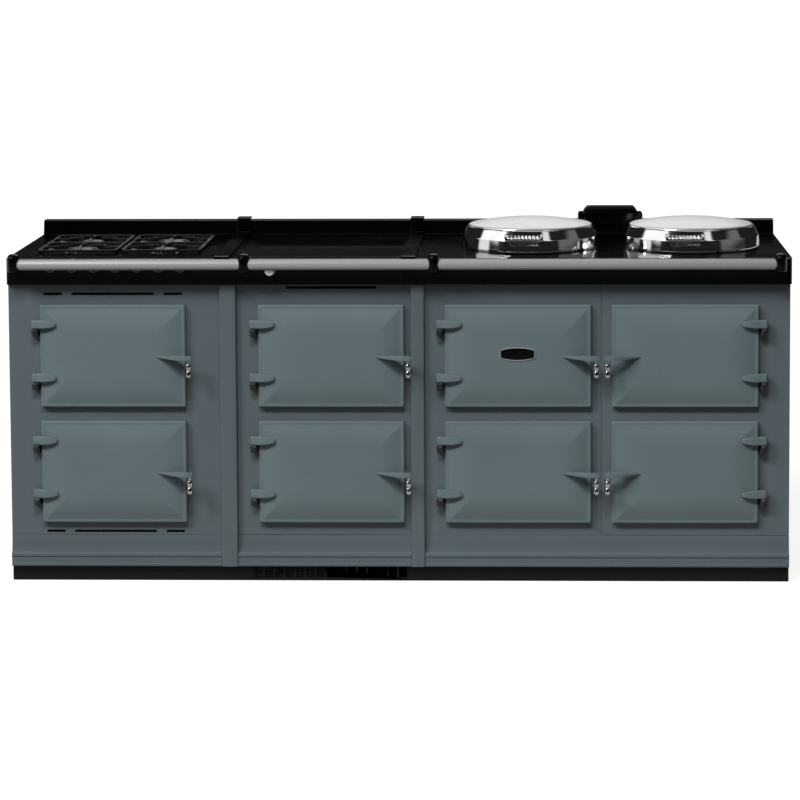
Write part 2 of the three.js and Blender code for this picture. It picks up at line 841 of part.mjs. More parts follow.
// Two upright ears on the top plate, with the pin between them.
function hingePedestals(x) {
  const half = knuckleWidth / 2 + pinClear;
  const ear = new THREE.Shape();
  ear.moveTo(yLidHinge - knuckleRadius - 5, zTop - 4);
  ear.lineTo(yLidHinge - knuckleRadius - 5, zTop + 5);
  ear.lineTo(yLidHinge - knuckleRadius, zTop + 12);
  ear.lineTo(yLidHinge - knuckleRadius, zLidHinge);
  ear.absarc(yLidHinge, zLidHinge, knuckleRadius, Math.PI, 0, true);
  ear.lineTo(yLidHinge + knuckleRadius + 5, zTop + 5);
  ear.lineTo(yLidHinge + knuckleRadius + 5, zTop - 4);
  ear.closePath();
  const left = alongX(ear, x - half - pedestalWidth, x - half, 3);
  const right = alongX(ear, x + half, x + half + pedestalWidth, 3);
  const pin = alongX(disc(yLidHinge, zLidHinge, lidPinRadius), x - half - 4, x + half + 4, 5);
  return join(left, right, pin);
}

place('lid_left', lid(), satinChrome, lidCentres[0], yLid, zTop);
place('lid_right', lid(), satinChrome, lidCentres[1], yLid, zTop);

// ---------------------------------------------------------------- lid handles

// Spiral of the wound grip, about an axis along X.
class Coil extends THREE.Curve {
  getPoint(t, target = new THREE.Vector3()) {
    const angle = 2 * Math.PI * coilTurns * t;
    const x = coilTurns * coilPitch * (t - 0.5);
    return target.set(x, coilRadius * Math.cos(angle), coilRadius * Math.sin(angle));
  }
}

function pentagon(radius) {
  const corners = [0, 1, 2, 3, 4].map((i) => (2 * Math.PI * i) / 5);
  return outline(corners.map((a) => [radius * Math.cos(a), radius * Math.sin(a)]));
}

// Wire wound round a core between two cheeks that stand on the lid's skirt.
function lidHandle(shift) {
  const y = -lidRadius - coilOut;
  const half = (coilTurns * coilPitch) / 2;
  const run = { steps: 8 * coilTurns, bevelEnabled: false, extrudePath: new Coil() };
  const wire = new THREE.ExtrudeGeometry(pentagon(coilWire / 2), run);
  const coil = solid(wire.translate(0, y, coilRise));
  const core = alongX(disc(y, coilRise, coreRadius), -half - 2, half + 2, 4);
  const cheek = new THREE.Shape();
  cheek.moveTo(-lidRadius + 30, coilRise - 12);
  cheek.lineTo(y, coilRise - cheekRadius);
  cheek.absarc(y, coilRise, cheekRadius, -Math.PI / 2, -1.5 * Math.PI, true);
  cheek.lineTo(-lidRadius + 30, coilRise + 12);
  cheek.closePath();
  const inner = half - coilWire / 3;
  const left = alongX(cheek, -inner - cheekThickness, -inner, 4);
  const right = alongX(cheek, inner, inner + cheekThickness, 4);
  const skirt = turned([[0, seat], ...lidProfile(seat)], 0, 0, 30);
  return join(coil, core, left, right).translate([shift, 0, 0]).subtract(skirt);
}

// The smallest clear distance between one turn of the wire and the next.
function coilGap() {
  const curve = new Coil();
  const perTurn = 24;
  const count = perTurn * coilTurns;
  const points = Array.from({ length: count + 1 }, (_, i) => curve.getPoint(i / count));
  let least = Infinity;
  points.forEach((p, i) => {
    points.slice(i + perTurn / 2).forEach((q) => {
      least = Math.min(least, p.distanceTo(q) - coilWire);
    });
  });
  return least;
}

console.log(`least gap between turns of the lid handle's wire: ${coilGap().toFixed(2)} mm`);

place('lid_handle_left', lidHandle(coilShifts[0]), chrome, lidCentres[0], yLid, zTop);
place('lid_handle_right', lidHandle(coilShifts[1]), chrome, lidCentres[1], yLid, zTop);

// ---------------------------------------------------------------- hob

const hobCentre = (topStart + xJoints[0]) / 2 - sideOverhang;
const gridCentres = [-1, 1].map((side) => hobCentre + (side * (gridWidth + gridGap)) / 2);
const burnerRows = [1, 3].map((quarter) => yTop + gridFrontMargin + (quarter * gridDepth) / 4);
const burners = [-1, 1].flatMap((side) => [0, 1].map((row) => ({
  name: `${side < 0 ? 'left' : 'right'}_${row ? 'back' : 'front'}`,
  x: gridCentres[side < 0 ? 0 : 1],
  y: burnerRows[row],
  radius: (side < 0) === (row === 0) ? bigBurner : smallBurner,
})));

// Round well in the top plate that a burner stands in, cut from its bowl.
function burnerWell(burner) {
  const r = wellRadius;
  const floor = zTop - wellDepth;
  const profile = [
    [0, floor], [r - 24, floor], [r - 8, floor + 6], [r - 1.5, zTop - 2], [r, zTop],
    [r, zTop + 1], [0, zTop + 1],
  ];
  return turned(profile, burner.x, burner.y, 16);
}

function burnerBowl(burner) {
  const r = wellRadius;
  const foot = zTop - wellDepth - wellWall;
  const under = zTop - topThickness + 1;
  const profile = [[0, foot], [r - 20, foot], [r, under], [0, under]];
  return turned(profile, burner.x, burner.y, 12);
}

// Turned burner: foot, waist, flame ring and domed cap.
function burnerBody(burner) {
  const r = burner.radius;
  const z = zTop - wellDepth + seat;
  const h = z + burnerHeight;
  const profile = [
    [0, z], [r - 2, z], [r, z + 3], [r - 10, z + 5], [r - 10, h - 9], [r - 5, h - 8],
    [r - 5, h - 5], [r - 8, h - 4], [r - 10, h], [0, h + 1],
  ];
  return turned(profile, burner.x, burner.y, 12);
}

for (const burner of burners) {
  place(`burner_${burner.name}`, burnerBody(burner), satinChrome);
}

// Cast grid over one column of burners, with nibs that point at each flame.
function panSupport(x) {
  const y0 = yTop + gridFrontMargin;
  const y1 = y0 + gridDepth;
  const half = gridWidth / 2;
  const top = zTop + gridHeight - gridNib;
  const bottom = top - gridThickness;
  const foot = zTop + seat;
  const frame = roundedRect(x - half, x + half, y0, y1, 18);
  frame.holes.push(roundedRect(x - half + gridBar, x + half - gridBar,
    y0 + gridBar, y1 - gridBar, 10));
  const parts = [alongZ(frame, bottom, top, 1)];
  const middle = (y0 + y1) / 2;
  const bar = gridBar / 2;
  parts.push(box(x - half + 2, x + half - 2, middle - bar, middle + bar, bottom, top));
  for (const row of [0, 1]) {
    const y = burnerRows[row];
    const near = row ? middle : y0 + 2;
    const far = row ? y1 - 2 : middle;
    parts.push(nibAlongX(x - half + 2, x - gridReach, y, bottom, top));
    parts.push(nibAlongX(x + half - 2, x + gridReach, y, bottom, top));
    parts.push(nibAlongY(near, y - gridReach, x, bottom, top));
    parts.push(nibAlongY(far, y + gridReach, x, bottom, top));
  }
  for (const fy of [y0 + 30, middle, y1 - 30]) {
    for (const side of [-1, 1]) {
      const fx = x + side * (half - bar);
      parts.push(box(fx - bar, fx + bar, fy - 9, fy + 9, foot, bottom + 2));
    }
  }
  return join(...parts);
}

// Side view of one nib, from its root on the frame to its raised tip.
function nibSide(root, tip, bottom, top) {
  const way = Math.sign(tip - root);
  const heel = tip - way * gridNibLength;
  return outline([
    [root, bottom], [heel, bottom], [heel + way * 3, bottom + 4], [tip, bottom + 4.5],
    [tip, top + gridNib], [heel + way * 4, top + gridNib], [heel - way * 14, top], [root, top],
  ]);
}

function nibAlongX(root, tip, y, bottom, top) {
  return alongY(nibSide(root, tip, bottom, top), y - gridBar / 2, y + gridBar / 2);
}

function nibAlongY(root, tip, x, bottom, top) {
  return alongX(nibSide(root, tip, bottom, top), x - gridBar / 2, x + gridBar / 2);
}

place('pan_support_left', panSupport(gridCentres[0]), castIron);
place('pan_support_right', panSupport(gridCentres[1]), castIron);

// ---------------------------------------------------------------- warming plate

function warmOutline(grow) {
  const x0 = xJoints[0] + warmSideMargins[0] - grow;
  const x1 = xJoints[1] - warmSideMargins[1] + grow;
  const y0 = yTop + warmFrontMargin - grow;
  const y1 = yTop + warmFrontMargin + warmDepth + grow;
  return roundedRect(x0, x1, y0, y1, warmCorner + grow);
}

place('warming_plate', alongZ(warmOutline(0), zTop - warmThickness, zTop + 0.5, 2), blackGlass);

// ---------------------------------------------------------------- top plates in place

place('top_plate_left', leftTopPlate(), blackEnamel);
place('top_plate_middle', middleTopPlate(), blackEnamel);
place('top_plate_right', rightTopPlate(), blackEnamel);

// Strip over the joint of two top plates, from the skirt's foot over the upstand.
function jointStrip(x) {
  const half = stripWidth / 2;
  const outer = alongX(topSection(seat + stripThickness, zSkirt, yBack), x - half, x + half, 3);
  const under = topSection(seat, zSkirt - 1, yBack + 1);
  return outer.subtract(alongX(under, x - half - 1, x + half + 1, 3));
}

place('joint_strip_left', jointStrip(xJoints[0]), blackEnamel);
place('joint_strip_right', jointStrip(xJoints[1]), blackEnamel);

// ---------------------------------------------------------------- handrail

// One tube from end bracket to end bracket, through the two in the middle.
function handrail() {
  const x0 = railStops[0] + railBossWidth - railSocket + seat;
  const x1 = railStops[3] + railSocket - seat;
  return alongX(disc(yRail, zRail, railRadius), x0, x1, 10);
}

place('handrail', handrail(), brushedSteel);

// ---------------------------------------------------------------- flue cowl

// Upright flue box with a proud step, a sloped cover and an ear on each side.
function flueCowl() {
  const middle = lidMiddle + cowlShift;
  const y = yUpstand - upstandFillet - seat - cowlDepth / 2;
  const ring = (inset, z, radius) => rectRing(cowlWidth / 2 - inset, cowlDepth / 2 - inset,
    radius, (u, v) => new THREE.Vector3(middle + u, y + v, zTop + z));
  const body = lofted([
    ring(0, seat, 10), ring(0, 8, 10), ring(6, 12, 8), ring(6, cowlStep - 6, 8),
    ring(2, cowlStep - 3, 9), ring(2, cowlStep, 9), ring(6, cowlStep + 3, 8),
    ring(6, cowlShoulder - 5, 8), ring(0, cowlShoulder - 4, 10), ring(0, cowlShoulder, 10),
    ring(6, cowlTop - 7, 10), ring(12, cowlTop, 10),
  ]);
  const ears = [-1, 1].map((side) => {
    const x = middle + side * (cowlWidth / 2 + cowlEar / 2 - 3);
    const half = cowlEar / 2 + 3;
    const z1 = zTop + cowlShoulder + 2;
    const shape = roundedRect(x - half, x + half, z1 - 22, z1, 6);
    return alongY(shape, y - 18, y + 18, 1);
  });
  return join(body, ...ears);
}

place('flue_cowl', flueCowl(), blackEnamel);

// ---------------------------------------------------------------- doors

// Depth of the shut door's faces, measured from the pin axis towards the front plate.
const doorBack = pinOut - doorSeal;
const doorRimFace = doorBack - doorEdge;
const doorField = doorRimFace - doorRise;

// Hipped panel with its plug behind, hinged on the left; the pin axis is at x = y = 0.
function doorPanel() {
  const halfW = doorWidth / 2;
  const halfH = doorHeight / 2;
  const x = pinBeside + halfW;
  const ring = (inset, y, radius) => rectRing(halfW - inset, halfH - inset, radius,
    (u, v) => new THREE.Vector3(x + u, y, v));
  const plug = mouthMargin + mouthClear;
  return lofted([
    ring(plug, pinOut + plugDepth, 8), ring(plug, doorBack, 8),
    ring(0, doorBack, doorCorner), ring(0, doorRimFace + 4, doorCorner),
    ring(1.2, doorRimFace + 1.2, doorCorner), ring(4, doorRimFace, doorCorner - 2),
    ring(doorHip - 4, doorField + 1.4, 5), ring(doorHip + 10, doorField, 8),
  ]);
}

// Tapered cast lug with the bore for the hinge pin.
function doorLug(z) {
  const half = lugHeight / 2;
  const plan = new THREE.Shape();
  plan.moveTo(pinBeside + 8, lugRadius);
  plan.lineTo(0, lugRadius);
  plan.absarc(0, 0, lugRadius, Math.PI / 2, 1.5 * Math.PI);
  plan.lineTo(lugLength * 0.5, -lugRadius - 4);
  plan.lineTo(lugLength - 5, -lugRadius - 6);
  plan.lineTo(lugLength, -lugRadius - 2);
  plan.lineTo(lugLength, 0);
  plan.closePath();
  const front = outline([
    [-lugRadius - 1, z - half], [lugRadius, z - half], [lugLength + 1, z - half * 0.5],
    [lugLength + 1, z + half * 0.5], [lugRadius, z + half], [-lugRadius - 1, z + half],
  ]);
  const body = alongZ(plan, z - half - 1, z + half + 1, 3);
  return body.intersect(alongY(front, -3 * lugRadius, 2 * lugRadius));
}

// Spike that rises from the door's face and carries the grip past the free rim.
function handleArm() {
  const free = pinBeside + doorWidth;
  const x = free + armPast;
  const y = doorField - armStand;
  const plan = new THREE.Shape();
  plan.moveTo(free - armLength, doorField - 1);
  plan.lineTo(free - armLength * 0.5, doorField - 9);
  plan.lineTo(free - armLength * 0.1, y - armRadius + 2);
  plan.lineTo(x, y - armRadius);
  plan.absarc(x, y, armRadius, -Math.PI / 2, Math.PI / 2);
  plan.lineTo(free - armLength * 0.2, doorField - armStand * 0.35);
  plan.lineTo(free - armLength * 0.45, doorRimFace + 4);
  plan.lineTo(free - armLength * 0.75, doorRimFace + 4);
  plan.closePath();
  const half = armHeight / 2;
  const front = outline([
    [free - armLength - 1, -half * 0.3], [x - armRadius, -half],
    [x + armRadius + 1, -half], [x + armRadius + 1, half],
    [x - armRadius, half], [free - armLength - 1, half * 0.3],
  ]);
  const body = alongZ(plan, -half - 1, half + 1, 3);
  return body.intersect(alongY(front, y - 2 * armRadius, doorBack));
}

function doorBody() {
  const lugs = [upperLugRise, -lowerLugDrop];
  const bore = disc(0, 0, pinRadius + pinClear);
  let door = join(doorPanel(), handleArm(), ...lugs.map(doorLug));
  for (const z of lugs) {
    door = door.subtract(alongZ(bore, z - lugHeight, z + lugHeight, 4));
  }
  return door;
}

// Turned grip that hangs under the end of the arm, with a bead round its middle.
function doorGrip() {
  const top = -armHeight / 2 - seat;
  const z1 = top - gripNeck;
  const z0 = z1 - gripLength;
  const middle = (z0 + z1) / 2;
  const profile = [
    [0, z0], [gripRadius - 3, z0], [gripRadius, z0 + 4], [gripRadius, middle - 3],
    [gripRadius - 2, middle], [gripRadius, middle + 3], [gripRadius, z1 - 4],
    [gripRadius - 4, z1], [gripRadius - 4, top], [0, top],
  ];
  return turned(profile, pinBeside + doorWidth + armPast, doorField - armStand, 8);
}

// The same body seen in a mirror, for doors that are hinged on the right.
function mirrored(body) {
  return solid(geometryOf(body).scale(-1, 1, 1));
}

const leftHandDoor = doorBody();
const leftHandGrip = doorGrip();
for (const column of doorColumns) {
  for (const row of doorRows) {
    const flip = (body) => (column.side > 0 ? body : mirrored(body));
    const x = column.rim - column.side * pinBeside;
    place(`door_${column.name}_${row.name}`, flip(leftHandDoor), enamel, x, yPin, row.z);
    place(`grip_${column.name}_${row.name}`, flip(leftHandGrip), chrome, x, yPin, row.z);
  }
}

// ---------------------------------------------------------------- knobs

// Turned knob with a pointer bar, its back against the skirt at y = 0.
function knob(radius) {
  const profile = [
    [0, seat], [radius, seat], [radius - 1, seat + 4],
    [radius - 2.5, knobDepth - 9], [radius - 4.5, knobDepth - 7], [0, knobDepth - 7],
  ];
  const points = profile.map(([r, h]) => new THREE.Vector2(r, h));
  const body = solid(new THREE.LatheGeometry(points, 12).rotateX(Math.PI));
  const half = radius * 0.2;
  return body.add(box(-half, half, -knobDepth, -knobDepth + 9, -radius + 3, radius - 3));
}

const knobMiddle = xStart + leftHingeMargin + doorWidth / 2 + 10;
for (let i = 0; i < knobCount; i += 1) {
  const x = knobMiddle + (i - (knobCount - 1) / 2) * knobPitch;
  place(`hob_knob_${i + 1}`, knob(knobRadius), knobBlack, x, yTop, zTop - knobDrop);
}
const thermostatX = xMiddle + thermostatInset;
place('thermostat_knob', knob(thermostatRadius), chrome, thermostatX, yTop, zTop - thermostatDrop);

export default range;
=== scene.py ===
"""Cast iron range cooker: three modules, eight oven doors, gas hob, two domed lids."""
import math

import bmesh
import bpy
from mathutils import Matrix, Vector


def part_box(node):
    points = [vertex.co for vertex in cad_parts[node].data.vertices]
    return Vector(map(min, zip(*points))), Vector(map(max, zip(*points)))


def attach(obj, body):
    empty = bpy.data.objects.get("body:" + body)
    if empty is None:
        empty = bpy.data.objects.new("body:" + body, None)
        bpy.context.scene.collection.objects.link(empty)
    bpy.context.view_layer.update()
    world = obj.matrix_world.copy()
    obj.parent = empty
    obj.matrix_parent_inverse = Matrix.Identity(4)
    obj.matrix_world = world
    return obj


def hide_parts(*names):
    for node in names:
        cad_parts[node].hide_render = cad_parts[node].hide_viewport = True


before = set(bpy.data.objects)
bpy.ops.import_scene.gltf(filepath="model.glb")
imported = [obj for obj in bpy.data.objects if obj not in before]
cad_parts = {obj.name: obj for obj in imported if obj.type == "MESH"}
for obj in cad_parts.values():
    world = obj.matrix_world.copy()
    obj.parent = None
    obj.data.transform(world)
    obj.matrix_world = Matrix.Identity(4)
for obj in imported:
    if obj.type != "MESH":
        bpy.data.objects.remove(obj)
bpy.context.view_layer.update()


# ---------------------------------------------------------------- camera
# A shift lens stands eight metres in front, a little right of the middle, at about head
# height. It looks down slightly; the rest of the framing is shift.
sensor_width = 36.0
focal_pixels, picture_pixels = 3015.5, 800.0
camera_data = bpy.data.cameras.new("camera")
camera_data.sensor_width = sensor_width
camera_data.lens = focal_pixels * sensor_width / picture_pixels
camera_data.shift_x, camera_data.shift_y = -0.045, -0.25
camera_data.clip_end = 2000.0
camera = bpy.data.objects.new("camera", camera_data)
bpy.context.scene.collection.objects.link(camera)
bpy.context.scene.camera = camera
yaw, pitch, roll = (math.radians(angle) for angle in (-1.834, 5.223, -0.256))
ahead = Vector((math.sin(yaw) * math.cos(pitch), math.cos(yaw) * math.cos(pitch),
                -math.sin(pitch)))
level = Vector((math.cos(yaw), -math.sin(yaw), 0.0))
upward = level.cross(ahead)
across = math.cos(roll) * level + math.sin(roll) * upward
above = math.cos(roll) * upward - math.sin(roll) * level
camera.location = (0.3559, -8.252, 1.7454)
camera.rotation_mode = "QUATERNION"
camera.rotation_quaternion = Matrix((across, above, -ahead)).transposed().to_quaternion()


# ---------------------------------------------------------------- studio
# A white room with three lamps: a key high on the left, one high in front that makes no
# glints, and a weak one at the back. Lit panes of the room show only in reflections.
scene = bpy.context.scene
scene.view_settings.view_transform = "Standard"


def wired(tree, kind, **values):
    """A node of a kind, with its settings and its unlinked inputs filled in."""
    node = tree.nodes.new(kind)
    for name, value in values.items():
        if hasattr(node, name):
            setattr(node, name, value)
        else:
            node.inputs[name.replace("_", " ")].default_value = value
    return node


room = bpy.data.worlds.new("white_room")
scene.world = room
room.use_nodes = True
tree = room.node_tree
tree.nodes.clear()
where = tree.nodes.new("ShaderNodeTexCoord")
parts = tree.nodes.new("ShaderNodeSeparateXYZ")
tree.links.new(where.outputs["Generated"], parts.inputs[0])
ahead_y = wired(tree, "ShaderNodeMath", operation="MULTIPLY")
ahead_y.inputs[1].default_value = -1.0
tree.links.new(parts.outputs["Y"], ahead_y.inputs[0])
bearing = wired(tree, "ShaderNodeMath", operation="ARCTAN2")
tree.links.new(parts.outputs["X"], bearing.inputs[0])
tree.links.new(ahead_y.outputs[0], bearing.inputs[1])
rise = wired(tree, "ShaderNodeMath", operation="ARCSINE")
tree.links.new(parts.outputs["Z"], rise.inputs[0])


def ramp(tree, value, lo, hi):
    """A smooth step between two angles in degrees."""
    step = wired(tree, "ShaderNodeMapRange", interpolation_type="SMOOTHSTEP")
    step.inputs[1].default_value = math.radians(lo)
    step.inputs[2].default_value = math.radians(hi)
    tree.links.new(value, step.inputs[0])
    return step.outputs[0]


def joined(tree, operation, first, second):
    """Two values, or a value and a number, through one sum."""
    node = wired(tree, "ShaderNodeMath", operation=operation)
    tree.links.new(first, node.inputs[0])
    if isinstance(second, float):
        node.inputs[1].default_value = second
    else:
        tree.links.new(second, node.inputs[1])
    return node.outputs[0]


def band(tree, value, lo, hi):
    """One between two angles in degrees, with soft ends."""
    edge = 3
    return joined(tree, "SUBTRACT", ramp(tree, value, lo - edge, lo + edge),
                  ramp(tree, value, hi - edge, hi + edge))


# Each pane: its two bearings and two heights in degrees, and how bright it is.
panes = ((-108.0, -57.0, 14.0, 52.0, 1.2), (-98.0, -75.0, -12.0, 16.0, 0.9),
         (29.0, 44.0, 32.0, 56.0, 0.9), (50.0, 104.0, 10.0, 42.0, 0.14),
         (52.0, 100.0, -8.0, 8.0, 0.04), (-200.0, 200.0, 64.0, 100.0, 0.5))
glint = None
for left, right, low, high, level in panes:
    lit = joined(tree, "MULTIPLY", band(tree, bearing.outputs[0], left, right),
                 band(tree, rise.outputs[0], low, high))
    lit = joined(tree, "MULTIPLY", lit, level)
    glint = joined(tree, "MAXIMUM", glint, lit) if glint else lit
back_level, room_level, fill_level = 0.62, 0.015, 0.05
back = joined(tree, "MAXIMUM", ramp(tree, bearing.outputs[0], 148, 162),
              ramp(tree, bearing.outputs[0], -148, -162))
back = joined(tree, "MULTIPLY", back, back_level)
back = joined(tree, "MULTIPLY", back, ramp(tree, rise.outputs[0], 9, 20))
glint = joined(tree, "MAXIMUM", glint, back)
glint = joined(tree, "ADD", glint, room_level)
rays = tree.nodes.new("ShaderNodeLightPath")
mirror = joined(tree, "MULTIPLY", glint, rays.outputs["Is Glossy Ray"])
direct = joined(tree, "MAXIMUM", rays.outputs["Is Camera Ray"],
                rays.outputs["Is Transmission Ray"])
shown = joined(tree, "MAXIMUM", mirror, direct)
fill = joined(tree, "MULTIPLY", rays.outputs["Is Diffuse Ray"], fill_level)
air = wired(tree, "ShaderNodeBackground", Color=(1, 1, 1, 1))
tree.links.new(joined(tree, "MAXIMUM", shown, fill), air.inputs["Strength"])
sky = tree.nodes.new("ShaderNodeOutputWorld")
tree.links.new(air.outputs[0], sky.inputs[0])


def soft_light(name, place, target, width, height, watts):
    """A rectangular studio lamp turned towards a point."""
    data = bpy.data.lights.new(name, "AREA")
    data.shape, data.size, data.size_y = "RECTANGLE", width, height
    data.energy = watts
    lamp = bpy.data.objects.new(name, data)
    bpy.context.scene.collection.objects.link(lamp)
    lamp.location = place
    lamp.rotation_mode = "QUATERNION"
    lamp.rotation_quaternion = (Vector(target) - Vector(place)).to_track_quat("-Z", "Y")
    lamp.visible_camera = False
    return lamp


soft_light("key_light", (-7.6, -7.2, 9.0), (-0.2, -0.3, 0.45), 4.4, 4.4, 1080)
high = soft_light("high_light", (-0.4, -4.7, 5.2), (0.0, -0.2, 0.6), 2.6, 1.0, 250)
high.visible_glossy = False
soft_light("back_light", (0.2, 4.2, 3.2), (0.0, 0.0, 0.9), 3.4, 1.4, 22)


def material(name, colour, roughness, metallic=0.0, **constants):
    """A finish with its plain values on the shader's own sockets."""
    made = bpy.data.materials.new(name)
    made.use_nodes = True
    shader = made.node_tree.nodes["Principled BSDF"]
    shader.inputs["Base Color"].default_value = (*colour, 1.0)
    shader.inputs["Roughness"].default_value = roughness
    shader.inputs["Metallic"].default_value = metallic
    for socket, value in constants.items():
        shader.inputs[socket.replace("_", " ")].default_value = value
    return made


floor_paint = bpy.data.materials.new("white_floor")
floor_paint.use_nodes = True
tree = floor_paint.node_tree
tree.nodes.clear()
matt = wired(tree, "ShaderNodeBsdfDiffuse", Color=(0.22, 0.22, 0.22, 1))
rays = tree.nodes.new("ShaderNodeLightPath")
spot = tree.nodes.new("ShaderNodeTexCoord")
lines = tree.nodes.new("ShaderNodeSeparateXYZ")
tree.links.new(spot.outputs["Object"], lines.inputs[0])
fade = wired(tree, "ShaderNodeMapRange", interpolation_type="SMOOTHSTEP")
for socket, value in zip(fade.inputs[1:5], (-3.4, -0.9, 0.04, 0.5)):
    socket.default_value = value
tree.links.new(lines.outputs["Y"], fade.inputs[0])
near = joined(tree, "MULTIPLY", fade.outputs[0], rays.outputs["Is Glossy Ray"])
plain = joined(tree, "MAXIMUM", rays.outputs["Is Camera Ray"],
               rays.outputs["Is Transmission Ray"])
away = wired(tree, "ShaderNodeVectorMath", operation="LENGTH")
tree.links.new(spot.outputs["Object"], away.inputs[0])
white_far = wired(tree, "ShaderNodeMapRange", interpolation_type="SMOOTHSTEP")
for socket, value in zip(white_far.inputs[1:5], (2.2, 6.0, 0.88, 1.02)):
    socket.default_value = value
tree.links.new(away.outputs["Value"], white_far.inputs[0])
plain = joined(tree, "MULTIPLY", plain, white_far.outputs[0])
white = wired(tree, "ShaderNodeEmission", Color=(1, 1, 1, 1))
tree.links.new(joined(tree, "MAXIMUM", plain, near), white.inputs["Strength"])
both = tree.nodes.new("ShaderNodeAddShader")
tree.links.new(matt.outputs[0], both.inputs[0])
tree.links.new(white.outputs[0], both.inputs[1])
end = tree.nodes.new("ShaderNodeOutputMaterial")
tree.links.new(both.outputs[0], end.inputs["Surface"])

floor_size, floor_drop = 900.0, 0.0005
bpy.ops.object.select_all(action="DESELECT")
bpy.ops.mesh.primitive_plane_add(size=floor_size, location=(0, 0, -floor_drop))
floor = bpy.context.object
floor.name = "studio_floor"
bpy.ops.object.transform_apply(location=True)
floor.data.materials.append(floor_paint)


# ---------------------------------------------------------------- plinth
# The cabinet stands on a black painted slab, set back a little, with its edges eased.
# The paint is a little cloudy, as dust settles on it first.
def mode(kind):
    """Enters edit mode or leaves it."""
    bpy.ops.object.mode_set(mode=kind)


def softened(node, name, width, segments=2, limit=30.0, merge=True):
    """A copy of a CAD node with merged faces and its sharp edges rounded."""
    bpy.ops.object.select_all(action="DESELECT")
    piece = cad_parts[node].copy()
    piece.data = piece.data.copy()
    piece.name = piece.data.name = name
    piece.parent = None
    for key in list(piece.keys()):
        del piece[key]
    bpy.context.scene.collection.objects.link(piece)
    piece.select_set(True)
    bpy.context.view_layer.objects.active = piece
    bpy.ops.mesh.customdata_custom_splitnormals_clear()
    piece.data.materials.clear()
    mode("EDIT")
    bpy.ops.mesh.select_all(action="SELECT")
    bpy.ops.mesh.remove_doubles(threshold=0.00002)
    if merge:
        bpy.ops.mesh.dissolve_limited(angle_limit=math.radians(1.0))
    mode("OBJECT")
    bpy.ops.object.shade_smooth()
    if width:
        applied(piece, "BEVEL", width=width, segments=segments, limit_method="ANGLE",
                angle_limit=math.radians(limit), harden_normals=True, miter_outer="MITER_ARC")
    applied(piece, "WEIGHTED_NORMAL", mode="FACE_AREA", weight=100, keep_sharp=True)
    return piece


def applied(piece, kind, **settings):
    """A modifier, set and applied at once."""
    modifier = piece.modifiers.new(kind.lower(), kind)
    for name, value in settings.items():
        setattr(modifier, name, value)
    bpy.ops.object.modifier_apply(modifier=modifier.name)


def finished(piece, body, paint, replaces=()):
    """Paint, and the body that the piece moves with."""
    piece.data.materials.clear()
    piece.data.materials.append(paint)
    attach(piece, body)
    if replaces:
        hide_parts(*replaces)


def smoothed(degrees):
    """Smooth shading, with edges above an angle kept sharp."""
    bpy.ops.object.shade_smooth_by_angle(angle=math.radians(degrees))


def effect(name, inputs):
    """A shader group with named inputs, object coordinates, a mask and a height."""
    group = bpy.data.node_groups.new(name, "ShaderNodeTree")
    for label, value in inputs.items():
        socket = group.interface.new_socket(label, in_out="INPUT", socket_type="NodeSocketFloat")
        socket.default_value = value
    for label in ("Mask", "Height"):
        group.interface.new_socket(label, in_out="OUTPUT", socket_type="NodeSocketFloat")
    spot = group.nodes.new("ShaderNodeTexCoord").outputs["Object"]
    return (group, spot, group.nodes.new("NodeGroupInput"),
            group.nodes.new("NodeGroupOutput"))


def noise_on(group, spot, scale=None, **settings):
    """Noise on some coordinates, with its scale from an input of the group."""
    noise = wired(group, "ShaderNodeTexNoise", **settings)
    group.links.new(spot, noise.inputs["Vector"])
    if scale:
        group.links.new(scale, noise.inputs["Scale"])
    return noise.outputs["Fac"]


def shown_as(group, outlet, mask, height, span=None):
    """Sends a mask, stretched over a span if one is given, and a height out of a group."""
    if span:
        spread = wired(group, "ShaderNodeMapRange")
        spread.inputs[1].default_value, spread.inputs[2].default_value = span
        group.links.new(mask, spread.inputs[0])
        mask = spread.outputs[0]
    group.links.new(mask, outlet.inputs["Mask"])
    group.links.new(height, outlet.inputs["Height"])


# Cloudy film: two sizes of noise, for dust, polish marks and uneven coats.
film, spot, inlet, outlet = effect("cloudy_film", {"Scale": 6.0, "Grain": 90.0})
cloud = noise_on(film, spot, inlet.outputs["Scale"], Detail=4.0, Roughness=0.6)
grit = noise_on(film, spot, inlet.outputs["Grain"], Detail=3.0, Roughness=0.65)
shown_as(film, outlet, cloud, grit, (0.32, 0.68))


def varied(paint, group, values, light, dark, rough, bump):
    """Feeds one effect into a finish: two colours, a span of roughness and a bump."""
    tree = paint.node_tree
    shader = tree.nodes["Principled BSDF"]
    node = tree.nodes.new("ShaderNodeGroup")
    node.node_tree = group
    for name, value in values.items():
        node.inputs[name].default_value = value
    mix = wired(tree, "ShaderNodeMix", data_type="RGBA")
    mix.inputs[6].default_value, mix.inputs[7].default_value = (*dark, 1), (*light, 1)
    tree.links.new(node.outputs["Mask"], mix.inputs[0])
    tree.links.new(mix.outputs[2], shader.inputs["Base Color"])
    span = wired(tree, "ShaderNodeMapRange")
    span.inputs[3].default_value, span.inputs[4].default_value = rough
    tree.links.new(node.outputs["Mask"], span.inputs[0])
    tree.links.new(span.outputs[0], shader.inputs["Roughness"])
    relief = wired(tree, "ShaderNodeBump", Strength=1.0, Distance=bump)
    tree.links.new(node.outputs["Height"], relief.inputs["Height"])
    tree.links.new(relief.outputs[0], shader.inputs["Normal"])
    return paint


plinth_paint = varied(material("plinth_black_paint", (0.006, 0.006, 0.006), 0.5,
                               Specular_IOR_Level=0.2), film,
                      {"Scale": 9.0, "Grain": 400.0}, (0.008, 0.0078, 0.0075),
                      (0.004, 0.0038, 0.0036), (0.45, 0.62), 0.0001)
finished(softened("plinth", "plinth_slab", 0.0015), "range", plinth_paint,
         ["plinth"])


